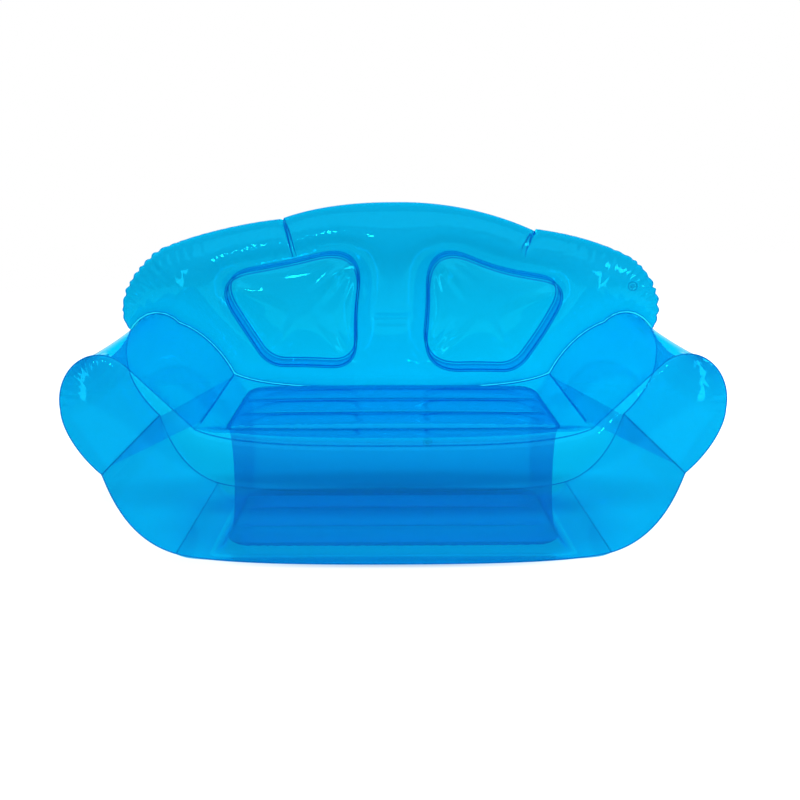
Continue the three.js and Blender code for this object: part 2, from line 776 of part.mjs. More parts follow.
const rearGeometry = addValve("base", rearWall, baseValveReach, baseValveHeight);
const backrestRear = backrestWall(1);
const backrestRearGeometry = addValve(
  "backrest",
  backrestRear,
  backrestValveReach,
  backrestValveHeight,
);

addMesh("base_front_panel", filmGeometry(frontWall), outerFilm);
addMesh("base_rear_panel", rearGeometry, outerFilm);
addMesh("seat_panel", filmGeometry(seatSurface()), outerFilm);
addMesh("seat_pad", filmGeometry(padSurface(padRimHeight, padCrown, padRibLift)), padFilm);
addMesh("base_bottom_panel", filmGeometry(bottomSurface()), outerFilm);
addMesh("bottom_pad", filmGeometry(padSurface(bottomRimHeight, -bottomCrown, -padRibLift)), padFilm);
const boxRows = [padLoopAt(padRimHeight), padLoopAt(bottomRimHeight)];
const boxSurface = surfaceOf([{ rows: boxRows, closed: true }]);
addMesh("seat_box_baffle", filmGeometry(boxSurface, baffleGap), innerFilm);
addMesh("backrest_front_panel", filmGeometry(backrestWall(-1)), outerFilm);
addMesh("backrest_rear_panel", backrestRearGeometry, outerFilm);
addMesh("backrest_weld_strip", filmGeometry(stripSurface()), weldedFilm);

for (const [name, side] of [["right", 1], ["left", -1]]) {
  const wrap = (stretch, swell) => {
    const rows = wrapRows(stretch, swell);
    return surfaceOf([{ rows: side < 0 ? rows.map(mirrored) : rows }]);
  };
  addMesh(`${name}_arm_wrap`, filmGeometry(wrap("arm", armSwell)), outerFilm);
  addMesh(`${name}_flank`, filmGeometry(wrap("flank", flankSwell)), outerFilm);
  addMesh(`${name}_arm_baffle`, filmGeometry(armBaffle(side), baffleGap), innerFilm);
  addMesh(`${name}_window_front`, filmGeometry(windowSurface(-1, side)), padFilm);
  addMesh(`${name}_window_rear`, filmGeometry(windowSurface(1, side)), padFilm);
  const ring = surfaceOf([{ rows: [windowLoop(-1, side), windowLoop(1, side)], closed: true }]);
  addMesh(`${name}_window_baffle`, filmGeometry(ring, baffleGap), innerFilm);
}

export default sofa;
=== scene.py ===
# %% [markdown]
# # A blown-up sofa of clear film
# The sofa is one of those that are welded from tinted vinyl film and filled with air. Its base, with
# the two arms, is one air chamber and its backrest is a second one. Nothing on it is solid: what
# gives it its shape is where the flat sheets are welded together, so this lesson models the seams
# first and then lets each sheet swell between them.
#
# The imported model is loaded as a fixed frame. It says how large everything is and what moves.

# %% Load the frame
import math
import bpy
import numpy as np
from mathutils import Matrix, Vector, geometry


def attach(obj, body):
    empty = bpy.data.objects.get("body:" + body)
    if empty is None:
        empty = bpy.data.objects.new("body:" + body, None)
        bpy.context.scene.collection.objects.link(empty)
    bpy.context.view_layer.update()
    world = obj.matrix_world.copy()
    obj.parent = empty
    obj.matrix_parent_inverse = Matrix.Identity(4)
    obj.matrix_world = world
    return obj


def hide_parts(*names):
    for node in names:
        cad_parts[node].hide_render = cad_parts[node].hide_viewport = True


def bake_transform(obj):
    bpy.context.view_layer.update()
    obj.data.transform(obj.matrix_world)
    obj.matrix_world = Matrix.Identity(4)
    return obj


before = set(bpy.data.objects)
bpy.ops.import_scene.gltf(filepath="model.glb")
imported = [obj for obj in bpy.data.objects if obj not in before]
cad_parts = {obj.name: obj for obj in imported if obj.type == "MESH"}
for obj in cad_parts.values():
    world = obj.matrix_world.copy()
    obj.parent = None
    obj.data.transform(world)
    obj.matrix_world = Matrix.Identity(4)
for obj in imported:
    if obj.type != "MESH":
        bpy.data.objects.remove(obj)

bpy.context.view_layer.update()

# %% [markdown]
# ## The camera
# A picture of a large object from four metres away shows it with clear perspective. The camera's
# place and its lens were found by fitting the sofa's stated width, height and depth to the picture.
# The picture is square, so a lens in millimetres goes with the sensor's 36 mm width.

# %% Camera
CAMERA_PLACE = (-0.033, -4.392, 1.284)
CAMERA_PITCH = 0.2025  # radians below the horizon
CAMERA_YAW = -0.0123
CAMERA_LENS = 68.07

camera_data = bpy.data.cameras.new("camera")
camera_data.lens = CAMERA_LENS
camera = bpy.data.objects.new("camera", camera_data)
camera.location = CAMERA_PLACE
camera.rotation_euler = (math.pi / 2 - CAMERA_PITCH, 0, CAMERA_YAW)
bpy.context.scene.collection.objects.link(camera)
bpy.context.scene.camera = camera
print("camera", CAMERA_LENS, "mm at", CAMERA_PLACE)

# %% [markdown]
# ## The sizes
# These are the sofa's own sizes in metres: the whole, the outline that the front and rear walls
# share with the sheets that wrap from one to the other, the set-in pads, and the backrest with its
# two windows, which aren't quite each other's mirror image. A share is a part of the run of the
# curve or edge that it belongs to. An arm's roll is a little taller than it is wide, and the film
# on it sags inwards between its two seams.

# %% Sizes of the base
WIDTH, DEPTH, HEIGHT = 1.8, 0.9, 0.95
FILM = 0.0004
BASE_DEPTH = 0.76  # from the front seam to the rear seam
FRONT_BULGE = 0.04  # how far a wall stands out from its seam's plane
SEAT_HEIGHT = 0.34
CREASE = (0.535, 0.387)  # where the seat meets the arm on the front seam: across and up
ARM_HEIGHT = 0.592
ARM_ROLL_RADIUS, ARM_ROLL_RISE = 0.11, 0.129  # across and up
ARM_OVERHANG = 0.002
ARM_ANGLES = (130.5, -10)  # degrees, where the roll begins and ends
FLANK_CREASE = (0.793, 0.262)
FOOT = (0.598, 0.037)
HEM_HEIGHT = 0.005
REAR_WIDTH_SHARE = 0.94  # how wide the rear outline is, as a share of the front one
SEAT_RISE = 0.01  # how much higher the seat is at the rear
ARM_SWELL = -0.012  # under 0, as the film sags inwards
FLANK_SWELL = 0.011
SEAT_BEND_SHARES = (0.486, 0, 0.822, 0.1)
FRONT_SLOPE_SHARES, REAR_SLOPE_SHARES = (0.3, 0.3, 0.7, 0.7), (0.2, 0.42, 0.56, 0.84)
ARM_BEND_SHARES = (0, 0.28, 0.41, 0.7)
FLANK_BEND_SHARES = (0.13, 0.32, 0.365, 0.83)
FOOT_BEND_SHARES = (0.164, 0.9, 0.58, 1)
ARM_BAFFLE_SHARES = (0.12, 0.93)

# %% Sizes of the pads and the backrest
PAD_FRONT_WIDTH, PAD_REAR_WIDTH, PAD_DEPTH = 0.95, 0.905, 0.59
PAD_SETBACK = 0.145
PAD_CORNER = 0.07
PAD_RIM_HEIGHT, PAD_CROWN, PAD_RIB_LIFT = 0.35, 0.024, 0.007
PAD_CHANNELS = 3
SEAT_SWELL = 0.016
BOTTOM_RIM_HEIGHT, BOTTOM_CROWN = 0.024, 0.019
BACKREST_THICKNESS = 0.2
STRIP_HEIGHT = 0.004
SIDE_END = (0.731, 0.79)
WINDOW_SHAPES = {  # seen from the front, drawn to the right; bows curve a side towards the window's middle
    "right": {
        "corners": ((0.112, 0.814), (0.094, 0.411), (0.399, 0.412), (0.566, 0.684)),
        "eases": (0.143, 0.127, 0.056, 0.098), "bows": (0.005, 0.003, -0.005, 0.014),
    },
    "left": {
        "corners": ((0.086, 0.810), (0.113, 0.423), (0.392, 0.431), (0.566, 0.707)),
        "eases": (0.157, 0.083, 0.056, 0.130), "bows": (0.008, 0.002, -0.001, 0.004),
    },
}
WINDOW_THICKNESS, WINDOW_CROWN = 0.13, 0.036

FRONT_SEAM_Y = FRONT_BULGE - DEPTH / 2
REAR_SEAM_Y = FRONT_SEAM_Y + BASE_DEPTH
print("seams at y =", FRONT_SEAM_Y, "and", REAR_SEAM_Y)

# %% [markdown]
# ## Outlines
# A seam is a curve, drawn once and used by every sheet that ends on it. Straight stretches, arcs
# and Bezier curves are sampled finely and then taken again at even steps, so that two sheets with
# the same number of steps meet point by point.

# %% Outline helpers
def run_along(points):
    """How far along a line each of its points lies."""
    return np.concatenate([[0], np.cumsum(np.linalg.norm(np.diff(points, axis=0), axis=1))])


def spaced(points, steps):
    """Points at so many even steps along a line."""
    points = np.asarray(points, float)
    run = run_along(points)
    at = np.linspace(0, run[-1], steps + 1)
    return np.stack([np.interp(at, run, column) for column in points.T], 1)


def bend(start, end, shares, steps=80):
    """A Bezier curve whose control points are given as shares of its run."""
    start, end, shares = np.array(start), np.array(end), np.array(shares)
    first, second = start + (end - start) * shares[:2], start + (end - start) * shares[2:]
    t = np.linspace(0, 1, steps + 1)[:, None]
    return (1 - t) ** 3 * start + 3 * (1 - t) ** 2 * t * first + 3 * (1 - t) * t**2 * second + t**3 * end


def left_normals(line, closed=False):
    """Unit normals of a flat line, to its left as it runs."""
    before, after = np.roll(line, 1, 0), np.roll(line, -1, 0)
    if not closed:
        before[0], after[-1] = line[0], line[-1]
    run = after - before
    run /= np.linalg.norm(run, axis=1)[:, None]
    return np.stack([-run[:, 1], run[:, 0]], 1)


def mirrored(points):
    """Points of a flat outline or in space, on the sofa's other side."""
    return np.asarray(points) * ([-1] + [1] * (np.shape(points)[-1] - 1))


def upright(line, y):
    """A flat outline stood up in the plane at y, as points in space."""
    line = np.asarray(line, float)
    return np.stack([line[:, 0], np.full(len(line), y), line[:, 1]], 1)

# %% Outline of the base
SEAT_STEPS, ARM_STEPS, ROLL_STEPS, STRIP_STEPS = 48, 120, 80, 70
ARC_STEPS = 120
FLANK_STEPS = 2 * ROLL_STEPS - ARM_STEPS


def base_outline(rise, width_share, slope_shares):
    """The right half of the front or rear outline: its seat, arm, flank and foot stretches."""
    crease = np.array([CREASE[0], CREASE[1] + rise])
    middle = (0, SEAT_HEIGHT + rise)
    roll = np.array([WIDTH / 2 - ARM_ROLL_RADIUS - ARM_OVERHANG, ARM_HEIGHT - ARM_ROLL_RISE])
    turn = np.radians(np.linspace(*ARM_ANGLES, ARC_STEPS))[:, None]
    arc = roll + (ARM_ROLL_RADIUS, ARM_ROLL_RISE) * np.concatenate([np.cos(turn), np.sin(turn)], 1)
    slope, lower = bend(crease, arc[0], slope_shares), bend(arc[-1], FLANK_CREASE, ARM_BEND_SHARES)
    arm = np.concatenate([slope[:-1], arc, lower[1:]])
    stretches = {
        "seat": spaced(bend(middle, crease, SEAT_BEND_SHARES), SEAT_STEPS),
        "arm": spaced(arm, ARM_STEPS),
        "flank": spaced(bend(FLANK_CREASE, FOOT, FLANK_BEND_SHARES), FLANK_STEPS),
        "foot": spaced(bend(FOOT, (0, HEM_HEIGHT), FOOT_BEND_SHARES), SEAT_STEPS),
    }
    return {name: line * (width_share, 1) for name, line in stretches.items()}


front_outline = base_outline(0, 1, FRONT_SLOPE_SHARES)
rear_outline = base_outline(SEAT_RISE, REAR_WIDTH_SHARE, REAR_SLOPE_SHARES)
print("outline reaches", round(max(line[:, 0].max() for line in front_outline.values()), 4), "m")

# %% [markdown]
# ## Sheets
# A sheet is a list of points and of triangles. It becomes a real object as a closed, very thin
# solid: the film's two faces and its cut edge. A Solidify modifier would do that too, but making
# the faces here keeps the edge exactly where the weld is.

# %% Sheets
class Sheet:
    """A surface of triangles that share their points. Columns after the third are marks on the points."""

    def __init__(self, points, faces):
        points, faces = np.asarray(points, float), np.asarray(faces, int)
        place = np.round(points[:, :3], 6) + 0.0
        _, first, where = np.unique(place, axis=0, return_index=True, return_inverse=True)
        faces = where.reshape(-1)[faces]
        kept = (faces != np.roll(faces, 1, 1)).all(1)
        self.points, self.marks, self.faces = points[first, :3], points[first, 3:], faces[kept]

    @classmethod
    def grid(cls, rows, closed=False):
        """A sheet from rows of points, each row closed on itself or not."""
        rows = np.asarray(rows, float)
        count, length = rows.shape[:2]
        ids = np.arange(count * length).reshape(count, length)
        if closed:
            ids = np.concatenate([ids, ids[:, :1]], 1)
        a, b, c, d = ids[:-1, :-1], ids[:-1, 1:], ids[1:, 1:], ids[1:, :-1]
        halves = [np.stack(corners, -1).reshape(-1, 3) for corners in ((a, b, c), (a, c, d))]
        return cls(rows.reshape(-1, rows.shape[-1]), np.concatenate(halves))

    def crosses(self):
        """Each triangle's normal, twice as long as the triangle's area."""
        a, b, c = (self.points[self.faces[:, k]] for k in range(3))
        return np.cross(b - a, c - a)

    def normals(self):
        """Each point's unit normal, from the triangles round it by their areas."""
        summed = np.zeros_like(self.points)
        crosses = self.crosses()
        for k in range(3):
            np.add.at(summed, self.faces[:, k], crosses)
        return summed / np.maximum(np.linalg.norm(summed, axis=1), 1e-12)[:, None]

    def rim(self):
        """The free edges, each from one point to the next with the sheet on its left."""
        edges = np.concatenate([self.faces[:, [0, 1]], self.faces[:, [1, 2]], self.faces[:, [2, 0]]])
        size = len(self.points)
        forward, backward = edges[:, 0] * size + edges[:, 1], edges[:, 1] * size + edges[:, 0]
        return edges[~np.isin(forward, backward)]

    def facing_from(self, inside):
        """The sheet, turned so that its normals point away from a place."""
        if ((self.points - inside) * self.normals()).sum() < 0:
            self.faces = self.faces[:, ::-1]
        return self

    def lifted(self, amount):
        """The sheet with each point moved along the normal by an amount."""
        self.points = self.points + self.normals() * np.asarray(amount)[:, None]
        return self

    def mirrored(self):
        """The sheet for the other side of the sofa."""
        points = np.concatenate([mirrored(self.points), self.marks], 1)
        return Sheet(points, self.faces[:, ::-1])


def collected(name, points, faces):
    """A smooth mesh object at the origin."""
    mesh = bpy.data.meshes.new(name)
    mesh.from_pydata([tuple(p) for p in points], [], [tuple(int(i) for i in f) for f in faces])
    mesh.validate()
    mesh.shade_smooth()
    thing = bpy.data.objects.new(name, mesh)
    bpy.context.scene.collection.objects.link(thing)
    return thing


def film(name, sheet, thickness=FILM):
    """A sheet as a closed solid of one film's thickness."""
    offset = sheet.normals() * thickness / 2
    count = len(sheet.points)
    a, b = sheet.rim().T
    edge = np.concatenate([np.stack([b, a, a + count], 1), np.stack([b, a + count, b + count], 1)])
    faces = np.concatenate([sheet.faces, sheet.faces[:, ::-1] + count, edge])
    return collected(name, np.concatenate([sheet.points + offset, sheet.points - offset]), faces)

# %% [markdown]
# ## How film swells
# Air under pressure lifts a film most where its seams are far apart. The height of such a film over
# a flat piece solves the same equation as a soap film's, and its square root gives the round,
# steep-sided look of a tube near a seam. The equation is solved on the sheet's own triangles by
# conjugate gradients, which needs nothing but sums over edges.

# %% Soap film
MOST_ROUNDS, TOLERANCE = 4000, 1e-9


def soap_film(sheet, held, load=1.0):
    """A height for each point of a flat sheet. held has the heights of held points, and nan elsewhere."""
    crosses = np.linalg.norm(sheet.crosses(), axis=1)
    starts, ends, weights = [], [], []
    for k in range(3):
        i, j, tip = (sheet.faces[:, (k + shift) % 3] for shift in range(3))
        to_i, to_j = sheet.points[i] - sheet.points[tip], sheet.points[j] - sheet.points[tip]
        starts.append(i)
        ends.append(j)
        weights.append((to_i * to_j).sum(1) / (2 * crosses))
    i, j, weight = (np.concatenate(parts) for parts in (starts, ends, weights))
    size = len(sheet.points)
    free = np.isnan(held)

    def pull(height):
        """How hard its neighbours pull each free point down."""
        along = weight * (height[i] - height[j])
        total = np.bincount(i, along, size) - np.bincount(j, along, size)
        return np.where(free, total, 0)

    diagonal = np.bincount(i, weight, size) + np.bincount(j, weight, size)
    source = sum(np.bincount(sheet.faces[:, k], crosses / 6, size) for k in range(3)) * load
    height = np.where(free, 0, held)
    rest = np.where(free, source, 0) - pull(height)
    step = eased = rest / diagonal
    energy = rest @ eased
    target = TOLERANCE * energy
    for _ in range(MOST_ROUNDS):
        drawn = pull(step)
        share = energy / (step @ drawn)
        height = height + share * step
        rest = rest - share * drawn
        eased = rest / diagonal
        left = rest @ eased
        if left < target:
            break
        step = eased + left / energy * step
        energy = left
    return height


def eased_steps(steps):
    """Shares from 0 to 1 that crowd together at both ends."""
    return (1 - np.cos(np.pi * np.linspace(0, 1, steps + 1))) / 2


def ruled(start, end, shares):
    """Rows of points from one edge to another of the same count."""
    shares = np.asarray(shares)[:, None, None]
    return start[None] * (1 - shares) + end[None] * shares

# %% [markdown]
# ## Puckers
# A flat sheet that is welded along a curve can't lie smooth once it swells: its edge is longer than
# the tube wants, and it gathers into small folds square to the seam. They are largest just beside
# the weld and die out within a few centimetres. Each point of a sheet therefore needs to know how
# far it is from a seam and how far along the seam it lies.

# %% Puckers
CHUNK = 2000  # points that are measured together, few enough for their table to stay small


def beside(points, seam, closed=False):
    """Each point's distance from a seam, and how far along the seam the nearest place is."""
    seam = np.concatenate([seam, seam[:1]]) if closed else seam
    start, run = seam[:-1], np.diff(seam, axis=0)
    lengths = np.linalg.norm(run, axis=1)
    passed = np.concatenate([[0], np.cumsum(lengths)])[:-1]
    distance, along = np.empty(len(points)), np.empty(len(points))
    for low in range(0, len(points), CHUNK):
        chunk = points[low:low + CHUNK]
        offset = chunk[:, None] - start[None]
        share = np.clip((offset * run).sum(2) / np.maximum(lengths**2, 1e-18), 0, 1)
        gap = np.linalg.norm(offset - share[..., None] * run, axis=2)
        best = gap.argmin(1)
        row = np.arange(len(chunk))
        distance[low:low + CHUNK] = gap[row, best]
        along[low:low + CHUNK] = passed[best] + share[row, best] * lengths[best]
    return distance, along


MOST_GATHERS, UNEVENNESS, WEAKEST = 600, 0.4, 0.25


def gathers(along, spacing, seed):
    """An uneven row of gathers along a seam: -1 in the pinched valleys and up to 1 on the folds."""
    rng = np.random.default_rng(seed)
    knots = np.cumsum(spacing * rng.uniform(1 - UNEVENNESS, 1 + UNEVENNESS, MOST_GATHERS)) - spacing
    strength = np.interp(along, knots, rng.uniform(WEAKEST, 1, MOST_GATHERS))
    return strength * (2 * np.abs(np.sin(np.pi * np.interp(along, knots, np.arange(MOST_GATHERS)))) - 1)


def fading(distance, reach):
    """0 at a seam, 1 at a reach from it, and then slowly down to 0."""
    return distance / reach * np.exp(1 - distance / reach)


def puckers(points, seam, depth, reach, spacing, seed, closed=False):
    """How far puckers lift each point."""
    distance, along = beside(points, seam, closed)
    return depth * gathers(along, spacing, seed) * fading(distance, reach)


# %% [markdown]
# ## Front and rear walls of the base
# The two walls have the outline of a dog's bone: a low middle under the seat and a round lobe for
# each arm. Each is one flat cut sheet, held by its seam all round, so its swelling is the soap-film
# height over its own outline, scaled to how far it stands out at its fullest. The seat's long edge
# is nearly straight, so hardly any puckers show there, and they grow towards the round lobes.

# %% Front and rear walls
WALL_ROWS = 44
WALL_PUCKERS = (0.0018, 0.016, 0.024)  # depth, reach and spacing
LOBE_START, LEAST_PUCKERED = 0.7, 0.06
INSIDE = np.array([0, -0.05, 0.2])  # a place within the base, to turn sheets outwards from


def both_sides(half):
    """A right half that ends in the middle, carried on to its mirror image."""
    return np.concatenate([half, mirrored(half[:-1])[::-1]])


def wall_chains(outline, y):
    """The outline's upper and lower chains, from one arm's outermost point to the other."""
    upper = [outline["arm"][:ROLL_STEPS + 1][::-1], outline["seat"][:-1][::-1]]
    lower = [outline["arm"][ROLL_STEPS:], outline["flank"][1:], outline["foot"][1:]]
    return [both_sides(upright(np.concatenate(half), y)) for half in (upper, lower)]


def whole_seam(outline, y):
    """The wall's whole seam as one closed loop of points."""
    upper, lower = wall_chains(outline, y)
    return np.concatenate([upper, lower[::-1][1:-1]])


def held_at_rim(sheet):
    """The held heights of a sheet that is welded down all round."""
    held = np.full(len(sheet.points), np.nan)
    held[np.unique(sheet.rim())] = 0
    return held


def base_wall(outline, y, side, seed):
    """The front (-1) or rear (1) wall, blown up out of its seam's plane."""
    upper, lower = wall_chains(outline, y)
    wall = Sheet.grid(ruled(lower, upper, eased_steps(WALL_ROWS)))
    blown = soap_film(wall, held_at_rim(wall))
    seam = whole_seam(outline, y)
    lobes = np.clip(np.abs(wall.points[:, 0]) / CREASE[0] - LOBE_START, LEAST_PUCKERED, 1)
    gathered = lobes * puckers(wall.points, seam, *WALL_PUCKERS, seed, closed=True)
    wall.points[:, 1] += side * FRONT_BULGE * np.sqrt(blown / blown.max())
    return wall.facing_from(INSIDE).lifted(gathered)


front_wall = base_wall(front_outline, FRONT_SEAM_Y, -1, 11)
rear_wall = base_wall(rear_outline, REAR_SEAM_Y, 1, 12)
print("walls of", len(front_wall.faces), "triangles each")

# %% [markdown]
# ## Arms and flanks
# One sheet wraps each arm from the front seam to the rear seam, from the crease beside the seat
# over the top to the crease below the arm. A second sheet runs from there down to the floor. The
# second one swells a little between its seams. The first has the long way round the arm to go and
# sags instead. Both gather where the curved seams pull them in.

# %% Arms and flanks
DEPTH_STEPS = 72
FRONT_PUCKERS, REAR_PUCKERS = (0.018, 0.022), (0.022, 0.026)  # reach and spacing
ARM_PUCKER_DEPTH, FLANK_PUCKER_DEPTH = 0.0020, 0.0012
DEPTH_SHARES = eased_steps(DEPTH_STEPS)


def wrap(stretch, swell, seed, depth):
    """The sheet that runs from one stretch of the front seam to the same stretch of the rear seam."""
    front, rear = front_outline[stretch], rear_outline[stretch]
    steps = len(front) - 1
    along = np.sqrt(np.sin(np.pi * np.arange(steps + 1) / steps))
    across = 2 * np.sqrt(DEPTH_SHARES * (1 - DEPTH_SHARES))
    out = swell * across[:, None, None] * along[None, :, None] * left_normals(front)
    flat = ruled(front, rear, DEPTH_SHARES) + out
    y = np.broadcast_to((FRONT_SEAM_Y + DEPTH_SHARES * BASE_DEPTH)[:, None, None], flat[..., :1].shape)
    sheet = Sheet.grid(np.concatenate([flat[..., :1], y, flat[..., 1:]], 2)).facing_from(INSIDE)
    lift = puckers(sheet.points, upright(front, FRONT_SEAM_Y), depth, *FRONT_PUCKERS, seed)
    lift += puckers(sheet.points, upright(rear, REAR_SEAM_Y), depth, *REAR_PUCKERS, seed + 1)
    return sheet.lifted(lift)


arm_wrap = wrap("arm", ARM_SWELL, 21, ARM_PUCKER_DEPTH)
flank = wrap("flank", FLANK_SWELL, 23, FLANK_PUCKER_DEPTH)
print("arm sheet of", len(arm_wrap.faces), "triangles")

# %% [markdown]
# ## Seat, bottom and their pads
# The seat is a flat sheet with a hole, and the pad fills the hole: its rim is welded to the seat
# and to a ring-shaped inner wall that ties it to a twin pad in the bottom. That wall keeps the seat
# flat. Two weld lines part the pad into three air channels.

# %% Seat and bottom
ROUNDING_STEPS = 30


def rounded_loop(corners, eases, step_counts, bows=(0, 0, 0, 0)):
    """A closed loop with rounded corners and bowed sides, from each rounding's middle to the next."""
    corners = np.asarray(corners, float)

    def towards(i, j):
        """Where the rounding of corner i ends, on the side to corner j."""
        way = corners[j] - corners[i]
        return corners[i] + way * eases[i] / np.linalg.norm(way)

    count = len(corners)
    loop = []
    for i, (steps, bow) in enumerate(zip(step_counts, bows)):
        k = (i + 1) % count
        leave, arrive = towards(i, k), towards(k, i)
        before, after = towards(i, i - 1), towards(k, (k + 1) % count)
        start = ((before + leave) / 2 + corners[i]) / 2
        end = ((arrive + after) / 2 + corners[k]) / 2
        first, second = (corners[i] + leave) / 2, (arrive + corners[k]) / 2
        t = np.linspace(0, 1, ROUNDING_STEPS)[:, None]
        ease_out = (1 - t) ** 2 * start + 2 * (1 - t) * t * first + t**2 * leave
        ease_in = (1 - t) ** 2 * arrive + 2 * (1 - t) * t * second + t**2 * end
        side = spaced(np.concatenate([ease_out, ease_in]), steps)
        inward = left_normals(np.array([corners[i], corners[k]]))[0]
        side += bow * np.sin(np.pi * np.linspace(0, 1, steps + 1))[:, None] ** 2 * inward
        loop.append(side[:-1])
    return np.concatenate(loop)


def laid(loop, z):
    """A flat loop laid down at a height."""
    loop = np.asarray(loop, float)
    return np.concatenate([loop, np.full((len(loop), 1), z)], 1)


pad_front = FRONT_SEAM_Y + PAD_SETBACK
pad_corners = [(-PAD_FRONT_WIDTH / 2, pad_front), (PAD_FRONT_WIDTH / 2, pad_front),
               (PAD_REAR_WIDTH / 2, pad_front + PAD_DEPTH), (-PAD_REAR_WIDTH / 2, pad_front + PAD_DEPTH)]
pad_loop = rounded_loop(pad_corners, [PAD_CORNER] * 4, [2 * SEAT_STEPS, DEPTH_STEPS] * 2)


def rim_of(stretch, reverse):
    """Where the seat or the bottom meets its neighbours, from its front left corner and round."""
    rows = []
    for outline, y in ((front_outline, FRONT_SEAM_Y), (rear_outline, REAR_SEAM_Y)):
        half = outline[stretch][::-1] if reverse else outline[stretch]
        right = upright(half, y)
        rows.append(np.concatenate([mirrored(right[1:])[::-1], right]))
    front, rear = rows
    edge = ruled(front[-1:], rear[-1:], DEPTH_SHARES)[:, 0]
    return np.concatenate([front[:-1], edge[:-1], rear[::-1][:-1], mirrored(edge)[::-1][:-1]])


SEAT_ROWS = 26
SEAT_PUCKERS = (0.0012, 0.012, 0.03)  # depth, reach and spacing
seat_shares = eased_steps(SEAT_ROWS)
seat_rim = rim_of("seat", reverse=False)
room = np.abs(pad_loop[:, None] - seat_rim[None, :, :2]).sum(2).min(1)
swell = SEAT_SWELL * np.minimum(room / PAD_SETBACK, 1) ** 2
seat_rows = ruled(laid(pad_loop, PAD_RIM_HEIGHT), seat_rim, seat_shares)
seat_rows[..., 2] += 2 * np.sqrt(seat_shares * (1 - seat_shares))[:, None] * swell
seat = Sheet.grid(seat_rows, closed=True).facing_from(INSIDE)
seat = seat.lifted(puckers(seat.points, laid(pad_loop, PAD_RIM_HEIGHT), *SEAT_PUCKERS, 31, closed=True))

PAD_EDGE_SHARE, FOOT_EDGE_SHARE = 0.25, 0.6  # how much of the way in the film rises from the floor
foot_rim = rim_of("foot", reverse=True)
bottom_rows = ruled(laid(pad_loop, BOTTOM_RIM_HEIGHT), foot_rim, seat_shares)
from_edges = np.minimum(seat_shares / PAD_EDGE_SHARE, (1 - seat_shares) / FOOT_EDGE_SHARE)
flat_share = np.clip(from_edges, 0, 1)[:, None]
bottom_rows[..., 2] = bottom_rows[..., 2] * (1 - flat_share) ** 2 + FILM / 2 * (1 - (1 - flat_share) ** 2)
bottom = Sheet.grid(bottom_rows, closed=True).facing_from(INSIDE)
print("seat sheet of", len(seat.faces), "triangles")

# %% Pads
PAD_ROWS = 2 * DEPTH_STEPS
RIB_STOP_SHARE, RIB_EASE_SHARE = 0.022, 0.02  # where the weld lines stop short of the pad's rim
PAD_PUCKERS = (0.0018, 0.014, 0.026)  # depth, reach and spacing
CHANNEL_FULLNESS, RIB_SLOPE = 0.3, 8  # how square a channel's ends are, and how fast its floor rises


def pad(rim_z, crown, rib_lift, seed):
    """A pad on its rim loop, with weld lines that part it into channels."""
    front = pad_loop[:2 * SEAT_STEPS + 1]
    right = pad_loop[2 * SEAT_STEPS:2 * SEAT_STEPS + DEPTH_STEPS + 1]
    rear = pad_loop[2 * SEAT_STEPS + DEPTH_STEPS:4 * SEAT_STEPS + DEPTH_STEPS + 1][::-1]
    left = np.concatenate([pad_loop[4 * SEAT_STEPS + DEPTH_STEPS:], pad_loop[:1]])[::-1]
    v = np.linspace(0, 1, PAD_ROWS + 1)[:, None, None]
    u = np.linspace(0, 1, 2 * SEAT_STEPS + 1)[None, :, None]
    fine = [np.stack([np.interp(v.ravel(), np.linspace(0, 1, len(side)), side[:, k]) for k in (0, 1)], 1)
            for side in (left, right)]
    ruled_ways = fine[0][:, None] * (1 - u) + fine[1][:, None] * u + front[None] * (1 - v) + rear[None] * v
    corners = (front[0] * (1 - u) + front[-1] * u) * (1 - v) + (rear[0] * (1 - u) + rear[-1] * u) * v
    place = ruled_ways - corners
    across, ends = np.abs(np.sin(PAD_CHANNELS * np.pi * v)), np.sin(np.pi * u)
    welded = np.clip((np.minimum(u, 1 - u) - RIB_STOP_SHARE) / RIB_EASE_SHARE, 0, 1)
    inner_rows = (v > 0.5 / PAD_CHANNELS) & (v < 1 - 0.5 / PAD_CHANNELS)
    across = np.where(inner_rows, 1 - (1 - across) * welded, across)
    rim = (np.sin(np.pi * v) < 1e-9) | (ends < 1e-9)
    channel = np.sqrt(across) * np.where(rim, 0, ends) ** CHANNEL_FULLNESS
    swollen = rim_z + rib_lift * np.clip(ends * RIB_SLOPE, 0, 1) + (crown - rib_lift) * channel
    z = np.where(rim, rim_z, swollen)
    sheet = Sheet.grid(np.concatenate([place, z], 2))
    sheet = sheet.facing_from(np.array([0, 0, (PAD_RIM_HEIGHT + BOTTOM_RIM_HEIGHT) / 2]))
    rim_line = laid(pad_loop, rim_z)
    return sheet.lifted(puckers(sheet.points, rim_line, *PAD_PUCKERS, seed, closed=True))


seat_pad = pad(PAD_RIM_HEIGHT, PAD_CROWN, PAD_RIB_LIFT, 41)
bottom_pad = pad(BOTTOM_RIM_HEIGHT, -BOTTOM_CROWN, -PAD_RIB_LIFT, 42)
print("pads of", len(seat_pad.faces), "triangles each")

# %% [markdown]
# ## Inner walls
# What holds a blown-up shape in is inside it. A ring wall ties the seat pad to the bottom, and one
# sheet under each arm runs from the seat's crease to the crease below the arm. They are pulled
# tight along their welded edges and draw in a little between them, so they seem darker at the
# edges, where the eye looks along the film.

# %% Inner walls
BAFFLE_ROWS = 24
BOX_DRAW_IN, DRAWN_EVENLY = 0.02, 0.4  # the lower the second, the sooner a wall is drawn in beside its welds


